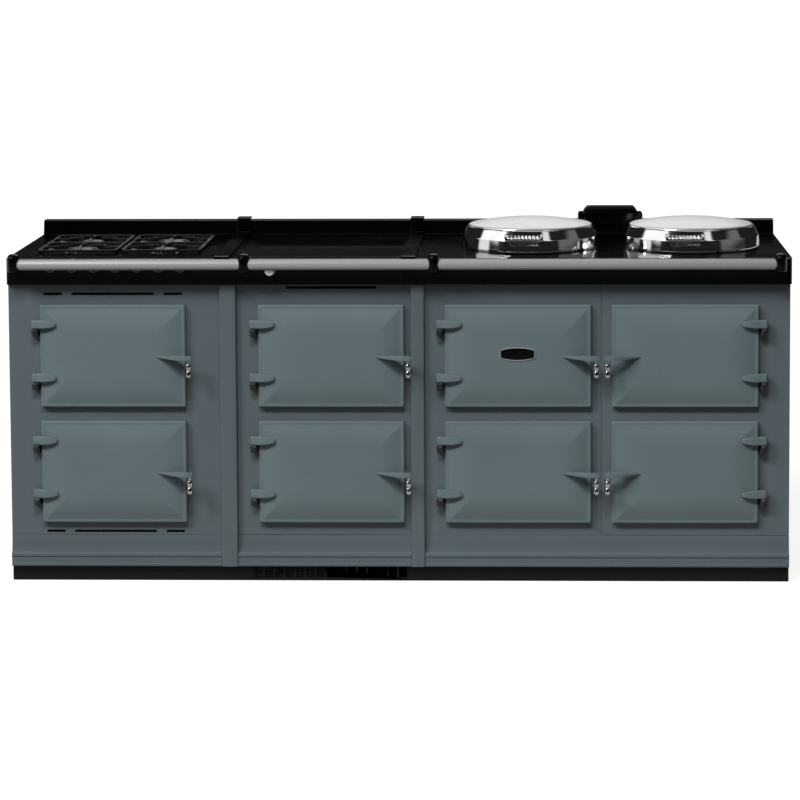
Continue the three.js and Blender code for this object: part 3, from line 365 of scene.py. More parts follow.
# ---------------------------------------------------------------- plinth grille
# Air for the ovens enters through a bay in the plinth: a slotted steel frame with a
# fine mesh behind it, brown with heat.
def start(name, add, **settings):
    """A primitive added with nothing else selected."""
    bpy.ops.object.select_all(action="DESELECT")
    add(**settings)
    piece = bpy.context.object
    piece.name = piece.data.name = name
    bpy.ops.object.transform_apply(location=True, rotation=True, scale=True)
    return piece


finished(softened("plinth_grille", "grille_frame", 0.0005, 1), "range", plinth_paint,
         ["plinth_grille"])
mesh_brown = varied(material("mesh_brown", (0.09, 0.07, 0.055), 0.5, 0.3), film,
                    {"Scale": 14.0, "Grain": 500.0}, (0.15, 0.12, 0.095),
                    (0.06, 0.048, 0.038), (0.4, 0.6), 0.0001)
lo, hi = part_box("plinth_grille")
margin_x, margin_z, gap_behind = 0.012, 0.008, 0.0012
mesh = start("grille_mesh", bpy.ops.mesh.primitive_grid_add, x_subdivisions=96,
             y_subdivisions=7, size=1.0, location=(0, 0, 0), rotation=(math.pi / 2, 0, 0))
mode("EDIT")
bpy.ops.mesh.select_all(action="SELECT")
bpy.ops.transform.resize(value=(hi.x - lo.x - margin_x, 1, hi.z - lo.z - margin_z))
bpy.ops.transform.translate(value=((lo.x + hi.x) / 2, hi.y + gap_behind,
                                   (lo.z + hi.z) / 2))
mode("OBJECT")
applied(mesh, "WIREFRAME", thickness=0.0011, use_even_offset=False)
finished(mesh, "range", mesh_brown)


# ---------------------------------------------------------------- skirting mouldings
# Each module ends at the foot in a moulded cast strip: a cove, a bead and a flat foot,
# enamelled like the front plates.
glaze, spot, inlet, outlet = effect("fired_glaze", {"Scale": 3.0, "Peel": 160.0})
pool = noise_on(glaze, spot, inlet.outputs["Scale"], Detail=3.0, Roughness=0.5)
peel = noise_on(glaze, spot, inlet.outputs["Peel"], Detail=2.0, Roughness=0.45)
speck = noise_on(glaze, spot, Scale=900.0, Detail=1.0)
blend = wired(glaze, "ShaderNodeMix", data_type="FLOAT")
blend.inputs[0].default_value = 0.25
glaze.links.new(pool, blend.inputs[2])
glaze.links.new(speck, blend.inputs[3])
shown_as(glaze, outlet, blend.outputs[0], peel, (0.35, 0.65))

enamel = varied(material("slate_enamel", (0.12, 0.16, 0.172), 0.2, Coat_Weight=0.2,
                         Coat_Roughness=0.06, Specular_IOR_Level=0.25), glaze,
                {"Scale": 2.2, "Peel": 150.0}, (0.131, 0.174, 0.186), (0.117, 0.157, 0.169),
                (0.24, 0.3), 0.00012)
# A darker copy of the door enamel for the plates, mouldings and posts. They are the same enamel
# as the doors, and the darker colour is painted shade.
shaded_plate_enamel = varied(material("shaded_plate_enamel", (0.1, 0.13, 0.14), 0.2, Coat_Weight=0.2,
                               Coat_Roughness=0.06, Specular_IOR_Level=0.25), glaze,
                      {"Scale": 1.6, "Peel": 150.0}, (0.104, 0.133, 0.146),
                      (0.09, 0.116, 0.127), (0.24, 0.32), 0.00012)
for module in ("left", "middle", "right"):
    node = f"moulding_{module}"
    finished(softened(node, f"skirting_{module}", 0.0006), "range", shaded_plate_enamel,
             [node])


# ---------------------------------------------------------------- joint posts
# A flat cast upright covers the joint of two modules from plinth to top plate. Its
# front edges are rounded.
def choose(piece, kind, test):
    """In edit mode, selects just the faces, edges or points that pass a test."""
    bpy.ops.mesh.select_mode(type=kind)
    bpy.ops.mesh.select_all(action="DESELECT")
    cage = bmesh.from_edit_mesh(piece.data)
    for part in {"FACE": cage.faces, "EDGE": cage.edges, "VERT": cage.verts}[kind]:
        part.select_set(bool(test(part)))
    cage.select_flush_mode()
    bmesh.update_edit_mesh(piece.data)


def block(name, lo, hi):
    """A box between two corners, to be shaped further."""
    lo, hi = Vector(lo), Vector(hi)
    return start(name, bpy.ops.mesh.primitive_cube_add, size=1.0, location=(lo + hi) / 2,
                 scale=hi - lo)


def span_of(edge):
    """The run of an edge along each axis."""
    return [abs(v) for v in edge.verts[0].co - edge.verts[1].co]


for side in ("left", "right"):
    node = f"post_{side}"
    lo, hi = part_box(node)
    post = block(f"cover_post_{side}", lo, hi)
    mode("EDIT")
    choose(post, "EDGE", lambda e: span_of(e)[2] > 0.1 and e.verts[0].co.y < lo.y + 0.001)
    bpy.ops.mesh.bevel(offset=0.004, segments=5, affect="EDGES")
    mode("OBJECT")
    smoothed(35)
    finished(post, "range", shaded_plate_enamel, [node])


# ---------------------------------------------------------------- front plates
# One enamelled iron plate faces each module, with rounded mouths behind the doors and
# long thin vents. The CAD node's hinge brackets are cut off here and made again below.
plate_thickness = 0.014
for module in ("left", "middle", "right_a", "right_b"):
    node = f"front_plate_{module}"
    lo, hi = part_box(node)
    face = hi.y - plate_thickness
    plate = softened(node, f"face_plate_{module}", 0.0)
    mode("EDIT")
    choose(plate, "VERT", lambda v: v.co.y < face - 0.0005)
    bpy.ops.mesh.delete(type="VERT")
    bpy.ops.mesh.select_all(action="SELECT")
    bpy.ops.mesh.fill_holes(sides=0)
    bpy.ops.mesh.select_all(action="SELECT")
    bpy.ops.mesh.dissolve_limited(angle_limit=math.radians(1.0))
    mode("OBJECT")
    applied(plate, "BEVEL", width=0.0012, segments=2, limit_method="ANGLE",
            angle_limit=math.radians(30), harden_normals=True)
    applied(plate, "WEIGHTED_NORMAL", mode="FACE_AREA", weight=100, keep_sharp=True)
    finished(plate, "range", shaded_plate_enamel, [node])


# ---------------------------------------------------------------- oven castings
# Behind the plates stand the ovens, heavy grey iron castings with shelf runners. They
# are bare iron, browned by heat, and show only where a door is open.
oven_iron = varied(material("oven_iron", (0.022, 0.021, 0.02), 0.7, 0.35), film,
                   {"Scale": 11.0, "Grain": 340.0}, (0.042, 0.038, 0.034),
                   (0.014, 0.013, 0.0125), (0.55, 0.8), 0.0006)
for module in ("left", "middle", "right_a", "right_b"):
    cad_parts[f"oven_casting_{module}"].data.materials[0] = oven_iron


# ---------------------------------------------------------------- cabinet shell
# Folded steel sheet closes the sides and the back, sprayed satin black. Rows of air
# slots run across the back.
sheet_black = varied(material("satin_black_sheet", (0.006, 0.006, 0.0065), 0.42), film,
                     {"Scale": 5.0, "Grain": 700.0}, (0.012, 0.012, 0.0125),
                     (0.0055, 0.0055, 0.006), (0.36, 0.5), 0.00008)
finished(softened("cabinet_shell", "side_and_back_sheet", 0.0008, merge=False), "range",
         sheet_black, ["cabinet_shell"])


# ---------------------------------------------------------------- top plates
# Three thick castings form the top, with a deep rounded skirt in front, a low upstand
# at the back and cast brackets for the rail, all in gloss black enamel.
gloss_black = varied(material("gloss_black_enamel", (0.002, 0.002, 0.0022), 0.08,
                              Specular_IOR_Level=0.13), glaze,
                     {"Scale": 4.0, "Peel": 60.0}, (0.0014, 0.0014, 0.0015),
                     (0.0008, 0.0008, 0.0009), (0.07, 0.14), 0.00006)
for module in ("left", "middle", "right"):
    node = f"top_plate_{module}"
    finished(softened(node, f"top_casting_{module}", 0.0012, 2, 35.0), "range", gloss_black,
             [node])
for side in ("left", "right"):
    node = f"joint_strip_{side}"
    finished(softened(node, f"joint_cover_{side}", 0.0012, 2, 35.0), "range", gloss_black,
             [node])


# ---------------------------------------------------------------- handrail
# One drawn steel tube, brushed along its length, runs through the two middle brackets
# and into blind sockets in the outer ones. Its ends are slightly eased.
brush, spot, inlet, outlet = effect("brush_marks", {"Long": 3.0, "Fine": 700.0})
squeeze = brush.nodes.new("ShaderNodeCombineXYZ")
for axis, label in enumerate(("Long", "Fine", "Fine")):
    brush.links.new(inlet.outputs[label], squeeze.inputs[axis])
run = wired(brush, "ShaderNodeVectorMath", operation="MULTIPLY")
brush.links.new(spot, run.inputs[0])
brush.links.new(squeeze.outputs[0], run.inputs[1])
streak = noise_on(brush, run.outputs[0], Scale=1.0, Detail=3.0, Roughness=0.6)
shown_as(brush, outlet, streak, streak)

brushed = varied(material("brushed_steel", (0.34, 0.34, 0.34), 0.4, 0.25), brush,
                 {"Long": 4.0, "Fine": 900.0}, (0.37, 0.375, 0.38), (0.3, 0.305, 0.31),
                 (0.42, 0.52), 0.00003)
rail_radius = 0.014
lo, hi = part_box("handrail")
tube = start("hand_rail", bpy.ops.mesh.primitive_cylinder_add, vertices=48, radius=rail_radius,
             depth=hi.x - lo.x, location=(lo + hi) / 2, rotation=(0, math.pi / 2, 0))
mode("EDIT")
choose(tube, "EDGE", lambda e: span_of(e)[0] < 0.001)
bpy.ops.mesh.bevel(offset=0.0012, segments=2, affect="EDGES")
mode("OBJECT")
smoothed(40)
finished(tube, "range", brushed, ["handrail"])


# ---------------------------------------------------------------- rail bosses
# Each bracket ends in an upright oval boss with a domed head, cast with the top plate,
# through which the tube passes.
def turned(name, stations, centre, vertices=48, axis="Z"):
    """A lathe form: a disc pushed up from station to station, each (radius, height)."""
    radius, height = stations[0]
    piece = start(name, bpy.ops.mesh.primitive_circle_add, vertices=vertices, radius=radius,
                  fill_type="NGON", location=(0, 0, height))
    mode("EDIT")
    bpy.ops.mesh.select_mode(type="FACE")
    bpy.ops.mesh.select_all(action="SELECT")
    for radius_next, height_next in stations[1:]:
        bpy.ops.mesh.extrude_region_move(
            TRANSFORM_OT_translate={"value": (0, 0, height_next - height)})
        scale = radius_next / radius
        bpy.ops.transform.resize(value=(scale, scale, 1), center_override=(0, 0, height_next))
        radius, height = radius_next, height_next
    bpy.ops.mesh.select_all(action="SELECT")
    bpy.ops.mesh.normals_make_consistent(inside=False)
    mode("OBJECT")
    turn = {"Z": (0, 0, 0), "X": (0, math.pi / 2, 0), "Y": (math.pi / 2, 0, 0)}[axis]
    piece.rotation_euler = turn
    piece.location = centre
    bpy.ops.object.transform_apply(location=True, rotation=True, scale=True)
    smoothed(28)
    return piece


chrome = varied(material("bright_chrome", (0.8, 0.8, 0.81), 0.06, 1.0), film,
                {"Scale": 25.0, "Grain": 600.0}, (0.83, 0.835, 0.84), (0.74, 0.745, 0.75),
                (0.04, 0.1), 0.00001)
lo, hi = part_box("handrail")
rail_y, rail_z = (lo.y + hi.y) / 2, (lo.z + hi.z) / 2
boss_half, boss_stretch = 0.0155, 42 / 31
for name, left in (("a", -1.025), ("b", -0.417), ("c", 0.082), ("d", 0.989)):
    x = left + boss_half
    boss = turned(f"rail_boss_{name}", [
        (0.0115, -0.0190), (0.0136, -0.0185), (0.0151, -0.0165), (0.0155, -0.0140),
        (0.0155, 0.0160), (0.0152, 0.0186), (0.0143, 0.0214), (0.0128, 0.0242),
        (0.0105, 0.0265), (0.0075, 0.0281), (0.0040, 0.0288), (0.0010, 0.0290)],
        (x, rail_y, rail_z))
    mode("EDIT")
    bpy.ops.mesh.select_all(action="SELECT")
    bpy.ops.transform.resize(value=(1, boss_stretch, 1), center_override=(x, rail_y, rail_z))
    mode("OBJECT")
    finished(boss, "range", gloss_black)


# ---------------------------------------------------------------- hob burners
# Four burners stand in shallow dishes: a bright turned aluminium body with flame ports
# all round and a matt black enamelled cap.
satin = varied(material("satin_alloy", (0.55, 0.55, 0.56), 0.3, 1.0), film,
               {"Scale": 30.0, "Grain": 900.0}, (0.66, 0.66, 0.67), (0.5, 0.5, 0.51),
               (0.22, 0.38), 0.00003)
cap_black = varied(material("burner_cap_black", (0.012, 0.012, 0.012), 0.35), film,
                   {"Scale": 20.0, "Grain": 600.0}, (0.02, 0.02, 0.02), (0.008, 0.008, 0.008),
                   (0.28, 0.42), 0.0001)
for where in ("left_front", "left_back", "right_front", "right_back"):
    node = f"burner_{where}"
    lo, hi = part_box(node)
    middle = ((lo.x + hi.x) / 2, (lo.y + hi.y) / 2, 0)
    r = (hi.x - lo.x) / 2
    z = lo.z
    body = turned(f"burner_body_{where}", [(r - 0.004, z), (r - 0.001, z + 0.0004),
                  (r, z + 0.0016), (r, z + 0.0030), (r - 0.002, z + 0.0042),
                  (r - 0.010, z + 0.0052), (r - 0.010, z + 0.0085), (r - 0.0062, z + 0.0095),
                  (r - 0.0056, z + 0.0128), (r - 0.009, z + 0.0130)], middle, 64)
    mode("EDIT")
    ring_z = z + 0.01115
    choose(body, "FACE", lambda f: abs(f.calc_center_median().z - ring_z) < 0.0006
           and f.normal.z < 0.5 and f.index % 2 == 0)
    bpy.ops.mesh.inset(thickness=0.0006, use_individual=True)
    bpy.ops.mesh.inset(thickness=0.0002, depth=-0.003, use_individual=True)
    mode("OBJECT")
    finished(body, "range", satin, [node])
    cap = turned(f"burner_cap_{where}", [(r - 0.011, z + 0.0131), (r - 0.0065, z + 0.0131),
                 (r - 0.006, z + 0.0138), (r - 0.0065, z + 0.0150), (r - 0.009, z + 0.0164),
                 (r - 0.013, z + 0.0174), (r * 0.4, z + 0.0187)], middle, 64)
    finished(cap, "range", cap_black)


# ---------------------------------------------------------------- pan supports
# Two cast grids stand over the burners on small feet, with nibs that point at each
# flame. They lift straight off and are enamelled matt black.
grid_black = varied(material("pan_support_black", (0.006, 0.006, 0.0062), 0.25), film,
                    {"Scale": 18.0, "Grain": 450.0}, (0.009, 0.009, 0.0095),
                    (0.004, 0.004, 0.0042), (0.16, 0.3), 0.0001)
for side in ("left", "right"):
    node = f"pan_support_{side}"
    finished(softened(node, f"cast_grid_{side}", 0.0016, 3), f"{node}_body", grid_black,
             [node])


# ---------------------------------------------------------------- warming plate
# A dark glass-smooth panel is let into the middle top, flush in a recess with rounded
# corners.
dark_glass = varied(material("dark_glass", (0.004, 0.004, 0.0045), 0.05), film,
                    {"Scale": 3.0, "Grain": 200.0}, (0.007, 0.007, 0.0075),
                    (0.0035, 0.0035, 0.004), (0.04, 0.1), 0.00002)
finished(softened("warming_plate", "warming_panel", 0.0008, 3), "range", dark_glass,
         ["warming_plate"])


# ---------------------------------------------------------------- hotplates
# Under each lid lies a thick turned iron plate in a machined ring. The top is ground flat, with
# two shallow grooves turned in it.
hotplate_iron = varied(material("ground_iron", (0.06, 0.058, 0.056), 0.4, 0.8), film,
                       {"Scale": 8.0, "Grain": 500.0}, (0.1, 0.097, 0.092),
                       (0.05, 0.048, 0.046), (0.3, 0.45), 0.0001)
for side in ("left", "right"):
    node = f"hotplate_{side}"
    lo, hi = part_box(node)
    r = (hi.x - lo.x) / 2
    z = hi.z
    plate = turned(f"hot_plate_{side}", [(r - 0.045, z - 0.040), (r - 0.012, z - 0.024),
                   (r - 0.010, z - 0.006), (r, z - 0.006), (r, z - 0.001), (r - 0.001, z),
                   (r - 0.007, z), (r - 0.009, z - 0.0015), (r - 0.011, z), (r * 0.62, z),
                   (r * 0.61, z - 0.0006), (r * 0.6, z), (0.01, z)],
                   ((lo.x + hi.x) / 2, (lo.y + hi.y) / 2, 0), 96)
    finished(plate, "range", hotplate_iron, [node])


# ---------------------------------------------------------------- lids
# Each hotplate has a heavy domed lid, spun and chromed: an upright skirt, a polished
# sloping band and a crown brushed in circles. It swings up on a hinge at the back.
lid_rings, spot, inlet, outlet = effect("lathe_rings", {"X": 0.0, "Y": 0.0, "Fine": 900.0})
hub = lid_rings.nodes.new("ShaderNodeCombineXYZ")
lid_rings.links.new(inlet.outputs["X"], hub.inputs[0])
lid_rings.links.new(inlet.outputs["Y"], hub.inputs[1])
flat = wired(lid_rings, "ShaderNodeVectorMath", operation="MULTIPLY")
flat.inputs[1].default_value = (1, 1, 0)
lid_rings.links.new(spot, flat.inputs[0])
reach = wired(lid_rings, "ShaderNodeVectorMath", operation="DISTANCE")
lid_rings.links.new(flat.outputs[0], reach.inputs[0])
lid_rings.links.new(hub.outputs[0], reach.inputs[1])
fine = wired(lid_rings, "ShaderNodeMath", operation="MULTIPLY")
lid_rings.links.new(reach.outputs["Value"], fine.inputs[0])
lid_rings.links.new(inlet.outputs["Fine"], fine.inputs[1])
way = lid_rings.nodes.new("ShaderNodeCombineXYZ")
lid_rings.links.new(fine.outputs[0], way.inputs[0])
broken = wired(lid_rings, "ShaderNodeVectorMath", operation="MULTIPLY")
broken.inputs[1].default_value = (22, 22, 22)
lid_rings.links.new(spot, broken.inputs[0])
mixed = wired(lid_rings, "ShaderNodeVectorMath", operation="ADD")
lid_rings.links.new(way.outputs[0], mixed.inputs[0])
lid_rings.links.new(broken.outputs[0], mixed.inputs[1])
groove = noise_on(lid_rings, mixed.outputs[0], Scale=1.0, Detail=3.0, Roughness=0.6)
shown_as(lid_rings, outlet, groove, groove)

for side in ("left", "right"):
    node = f"lid_{side}"
    body = f"{node}_body"
    lo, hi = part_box(node)
    x = (lo.x + hi.x) / 2
    r = (hi.x - lo.x) / 2
    y = lo.y + r
    z = lo.z
    satin_crown = varied(material(f"brushed_crown_{side}", (0.6, 0.6, 0.61), 0.4, 1.0),
                         lid_rings, {"X": x, "Y": y, "Fine": 700.0}, (0.86, 0.86, 0.87),
                         (0.5, 0.5, 0.51), (0.36, 0.5), 0.0003)
    skirt = turned(f"lid_shell_{side}", [(r - 0.004, z), (r - 0.0008, z + 0.0003),
                   (r, z + 0.0015), (r, z + 0.0060), (r - 0.0004, z + 0.0085),
                   (r - 0.0012, z + 0.0120), (r - 0.0035, z + 0.0325),
                   (r - 0.0040, z + 0.0341), (r - 0.0052, z + 0.0358),
                   (r - 0.0155, z + 0.0574), (r - 0.0167, z + 0.0590),
                   (r - 0.0186, z + 0.0602), (r - 0.0192, z + 0.0614)], (x, y, 0), 128)
    finished(skirt, body, chrome, [node])
    crown = turned(f"lid_crown_{side}", [(r - 0.0192, z + 0.0613), (r - 0.0196, z + 0.0625),
                   (r - 0.0210, z + 0.0636), (r - 0.0240, z + 0.0648), (r * 0.84, z + 0.0662),
                   (r * 0.72, z + 0.0702), (r * 0.60, z + 0.0737), (r * 0.46, z + 0.0770),
                   (r * 0.32, z + 0.0797), (r * 0.20, z + 0.0811), (r * 0.10, z + 0.0818),
                   (r * 0.03, z + 0.0821)], (x, y, 0), 128)
    finished(crown, body, satin_crown)


# ---------------------------------------------------------------- lid hinges
# A cast arm leaves the back of each lid and ends in a knuckle on the hinge pin, between
# two ears on the top plate.
pin_y, pin_z = 0.166, 0.912
for side in ("left", "right"):
    lo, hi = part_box(f"lid_{side}")
    x = (lo.x + hi.x) / 2
    arm = block(f"lid_arm_{side}", (x - 0.022, pin_y - 0.046, pin_z - 0.026),
                (x + 0.022, pin_y - 0.004, pin_z + 0.012))
    mode("EDIT")
    choose(arm, "FACE", lambda f: f.normal.y > 0.9)
    bpy.ops.transform.resize(value=(0.96, 1, 0.62), center_override=(x, pin_y, pin_z))
    mode("OBJECT")
    applied(arm, "BEVEL", width=0.004, segments=4)
    smoothed(40)
    finished(arm, f"lid_{side}_body", chrome)
    knuckle = turned(f"lid_knuckle_{side}", [(0.0105, 0.0), (0.0118, 0.0003),
                     (0.013, 0.0016), (0.013, 0.0444), (0.0118, 0.0457), (0.0105, 0.046)],
                     (x - 0.023, pin_y, pin_z), axis="X")
    finished(knuckle, f"lid_{side}_body", chrome)


# ---------------------------------------------------------------- lid handles
# The lifting grip is a bright wire wound round a core, which keeps it cool to hold. It
# hangs between two cheeks on stalks that run to the skirt.
turns, pitch, coil, wire_radius, wire_steps = 9, 0.010, 0.010, 0.0025, 20
cheek_near, cheek_far = 0.0433, 0.0513
stalk_ease, stalk_half, stalk_reach = 0.0006, 0.0115, 0.052
for side in ("left", "right"):
    node = f"lid_handle_{side}"
    body = f"lid_{side}_body"
    lo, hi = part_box(node)
    x = (lo.x + hi.x) / 2
    y = lo.y + 0.013
    z = (lo.z + hi.z) / 2
    core = turned(f"grip_core_{side}", [(0.0065, 0.0), (0.0065, 0.094)], (x - 0.047, y, z),
                  32, "X")
    finished(core, body, chrome, [node])
    curve = bpy.data.curves.new(f"grip_wire_{side}", "CURVE")
    curve.dimensions = "3D"
    line = curve.splines.new("POLY")
    count = turns * wire_steps
    line.points.add(count)
    for i in range(count + 1):
        turn = 2 * math.pi * turns * i / count
        line.points[i].co = (x + turns * pitch * (i / count - 0.5), y + coil * math.cos(turn),
                             z + coil * math.sin(turn), 1)
    curve.bevel_depth, curve.bevel_resolution, curve.use_fill_caps = wire_radius, 2, True
    wire = bpy.data.objects.new(f"grip_wire_{side}", curve)
    bpy.context.scene.collection.objects.link(wire)
    bpy.ops.object.select_all(action="DESELECT")
    wire.select_set(True)
    bpy.context.view_layer.objects.active = wire
    bpy.ops.object.convert(target="MESH")
    wire = bpy.context.object
    bpy.ops.object.shade_smooth()
    finished(wire, body, chrome)
    for hand, way in (("a", -1), ("b", 1)):
        near, far = sorted((x + way * cheek_near, x + way * cheek_far))
        disc = turned(f"grip_cheek_{side}_{hand}", [(0.0115, 0), (0.013, 0.0012),
                      (0.013, 0.0068), (0.0115, 0.008)], (near, y, z), axis="X")
        finished(disc, body, chrome)
        stalk = block(f"grip_stalk_{side}_{hand}",
                      (near + stalk_ease, y + 0.002, z - stalk_half),
                      (far - stalk_ease, y + stalk_reach, z + stalk_half))
        applied(stalk, "BEVEL", width=0.0022, segments=3)
        smoothed(40)
        finished(stalk, body, chrome)


# ---------------------------------------------------------------- flue cowl
# Behind and between the lids rises the flue box, a black enamelled casting with a
# proud step, a sloped cover and an ear on each side.
finished(softened("flue_cowl", "flue_box", 0.0014, 3, 25.0), "range", gloss_black,
         ["flue_cowl"])


# ---------------------------------------------------------------- doors
# Each oven door is a thick casting with a hipped, softly crowned face and a rounded
# rim, enamelled all over. Behind it sits an insulated plug in bare alloy.
columns = {"left": 1, "middle": 1, "right_a": 1, "right_b": -1}
rows = ("upper", "lower")
pin_gap, door_w, door_h = 0.012, 0.388, 0.274
door_back, rim_face = 0.0195, 0.0015
eye_radius, pin_line_y = 0.011, -0.355
liner_margin, liner_back = 0.027, 0.030


def hinge_line(column, row):
    """Where a door's pin line stands, and the middle height of the door."""
    lo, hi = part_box(f"door_{column}_{row}")
    side = columns[column]
    x = lo.x + eye_radius if side > 0 else hi.x - eye_radius
    return Vector((x, pin_line_y, (lo.z + hi.z) / 2)), side


panel = block("door_pattern", (pin_gap, rim_face, -door_h / 2),
              (pin_gap + door_w, door_back, door_h / 2))
mode("EDIT")
choose(panel, "FACE", lambda f: f.normal.y < -0.9)
for inward, rise in ((0.0078, 0.0), (0.0014, -0.0006), (0.0148, 0.0050), (0.017, 0.0044),
                     (0.017, 0.0029), (0.016, 0.0015), (0.016, 0.0006)):
    bpy.ops.mesh.inset(thickness=inward, depth=rise)
choose(panel, "EDGE", lambda e: (span_of(e)[0] > 0.001 and span_of(e)[2] > 0.001)
       or span_of(e)[1] > 0.015)
bpy.ops.mesh.bevel(offset=0.0035, segments=3, affect="EDGES")
choose(panel, "EDGE", lambda e: len(e.link_faces) == 2
       and min(f.normal.y for f in e.link_faces) < -0.9
       and max(f.normal.y for f in e.link_faces) > -0.3)
bpy.ops.mesh.bevel(offset=0.0052, segments=3, affect="EDGES")
choose(panel, "EDGE", lambda e: all(v.co.y > door_back - 0.0001 for v in e.verts))
bpy.ops.mesh.bevel(offset=0.0015, segments=2, affect="EDGES")
mode("OBJECT")
applied(panel, "SUBSURF", levels=2, render_levels=2)
bpy.ops.object.shade_smooth()


def copied(pattern, name, place, side):
    """A copy of a left-hand pattern with its own mesh, in place, mirrored if need be."""
    bpy.ops.object.select_all(action="DESELECT")
    piece = pattern.copy()
    piece.data = pattern.data.copy()
    piece.name = piece.data.name = name
    bpy.context.scene.collection.objects.link(piece)
    piece.select_set(True)
    bpy.context.view_layer.objects.active = piece
    piece.location = place
    piece.scale = (side, 1, 1)
    bpy.ops.object.transform_apply(location=True, rotation=True, scale=True)
    if side < 0:
        mode("EDIT")
        bpy.ops.mesh.select_all(action="SELECT")
        bpy.ops.mesh.normals_make_consistent(inside=False)
        mode("OBJECT")
    return piece


def fitted(pattern, name, paint, replaced=None, at=(0, 0, 0)):
    """A copy of the pattern on each of the eight doors."""
    for column in columns:
        for row in rows:
            place, side = hinge_line(column, row)
            offset = Vector((at[0] * side, at[1], at[2]))
            piece = copied(pattern, f"{name}_{column}_{row}", place + offset, side)
            nodes = [f"{replaced}_{column}_{row}"] if replaced else []
            finished(piece, f"door_{column}_{row}_body", paint, nodes)


fitted(panel, "oven_door", enamel, "door")
bpy.data.objects.remove(panel)

liner_alloy = varied(material("door_liner_alloy", (0.4, 0.4, 0.4), 0.45, 0.9), film,
                     {"Scale": 9.0, "Grain": 700.0}, (0.46, 0.455, 0.45), (0.32, 0.315, 0.31),
                     (0.38, 0.52), 0.00006)
liner = block("liner_pattern",
              (pin_gap + liner_margin, door_back - 0.001, -door_h / 2 + liner_margin),
              (pin_gap + door_w - liner_margin, liner_back, door_h / 2 - liner_margin))
mode("EDIT")
choose(liner, "EDGE", lambda e: span_of(e)[1] > 0.005)
bpy.ops.mesh.bevel(offset=0.008, segments=4, affect="EDGES")
choose(liner, "FACE", lambda f: f.normal.y > 0.9)
bpy.ops.mesh.inset(thickness=0.012, depth=0.0)
bpy.ops.mesh.inset(thickness=0.004, depth=-0.0025)
mode("OBJECT")
applied(liner, "BEVEL", width=0.0008, segments=2, limit_method="ANGLE",
        angle_limit=math.radians(40))
bpy.ops.object.shade_smooth()
applied(liner, "WEIGHTED_NORMAL", mode="FACE_AREA", weight=100, keep_sharp=True)
fitted(liner, "door_liner", liner_alloy)
bpy.data.objects.remove(liner)


# ---------------------------------------------------------------- hinge lugs
# Two lugs are cast with each door. An eye drops over the hinge pin and a short strap
# runs from it on to the door's face and dies into the hip.
def drawn(piece, stations):
    """Draws the +X end of a block out through sections: x, y middle, y half, z half."""
    mode("EDIT")
    cage = bmesh.from_edit_mesh(piece.data)
    last = max(v.co.x for v in cage.verts)
    choose(piece, "FACE", lambda f: f.normal.x > 0.9 and f.calc_center_median().x > last - 1e-5)
    ys = [v.co.y for v in cage.verts if v.select]
    zs = [v.co.z for v in cage.verts if v.select]
    x, y, half_y, half_z = last, (min(ys) + max(ys)) / 2, (max(ys) - min(ys)) / 2, max(zs)
    for nx, ny, nhy, nhz in stations:
        bpy.ops.mesh.extrude_region_move(
            TRANSFORM_OT_translate={"value": (nx - x, ny - y, 0)})
        bpy.ops.transform.resize(value=(1, nhy / half_y, nhz / half_z),
                                 center_override=(nx, ny, 0))
        x, y, half_y, half_z = nx, ny, nhy, nhz
    mode("OBJECT")


strap = block("lug_pattern", (-0.0085, -0.0105, -0.0105), (0.004, 0.0085, 0.0105))
drawn(strap, [(0.018, -0.0035, 0.0110, 0.0110), (0.034, -0.0052, 0.0115, 0.0098),
              (0.050, -0.0070, 0.0100, 0.0072), (0.0575, -0.0078, 0.0070, 0.0040)])
applied(strap, "BEVEL", width=0.0022, segments=2, limit_method="ANGLE",
        angle_limit=math.radians(35))
applied(strap, "SUBSURF", levels=2, render_levels=2)
bpy.ops.object.shade_smooth()
eye_ring = turned("eye_pattern", [(0.0066, -0.011), (0.0086, -0.0109), (0.0102, -0.0102),
                                  (0.011, -0.0086), (0.011, 0.0086), (0.0102, 0.0102),
                                  (0.0086, 0.0109), (0.0066, 0.011)], (0, 0, 0), 32)


def made_one(piece, other):
    """Joins the other piece to this one."""
    bpy.ops.object.select_all(action="DESELECT")
    other.select_set(True)
    piece.select_set(True)
    bpy.context.view_layer.objects.active = piece
    bpy.ops.object.join()
    return bpy.context.object


lug = made_one(strap, eye_ring)
lug_heights = {"top": 0.086, "foot": -0.057}
for label, height in lug_heights.items():
    fitted(lug, f"hinge_lug_{label}", enamel, None, (0, 0, height))
bpy.data.objects.remove(lug)


# ---------------------------------------------------------------- hinge brackets
# Under each lug a small bracket stands out of the front plate and carries a steel pin with a
# collar, on which the door turns. Bracket and pin are painted near black: painted shade for the
# shadow under each lug, over the pin's own dark steel.
tab = block("bracket_pattern", (-0.0095, 0.0, -0.0065), (0.0095, 0.0205, 0.0065))
mode("EDIT")
choose(tab, "EDGE", lambda e: span_of(e)[2] > 0.01 and e.verts[0].co.y < 0.001)
bpy.ops.mesh.bevel(offset=0.0001, segments=1, affect="EDGES")
mode("OBJECT")
nose = turned("nose_pattern", [(0.0085, -0.0065), (0.0095, -0.0055), (0.0095, 0.0055),
                               (0.0085, 0.0065)], (0, 0, 0), 32)
bracket = made_one(tab, nose)
pin = turned("pin_pattern", [(0.0060, 0.0), (0.0069, 0.0008), (0.0069, 0.0072),
                             (0.0062, 0.008), (0.005, 0.008), (0.005, 0.029),
                             (0.0040, 0.030)], (0, 0, 0), 32)
# The pin's colour is its own dark steel, darkened further as painted shade under the lug.
pin_steel = varied(material("hinge_pin_painted_shade", (0.1, 0.1, 0.1), 0.2, 1.0), film,
                   {"Scale": 25.0, "Grain": 700.0}, (0.16, 0.16, 0.165), (0.1, 0.1, 0.105),
                   (0.16, 0.26), 0.00002)
lug_half, collar_clear, collar_height, tab_half = 0.011, 0.0006, 0.008, 0.0065
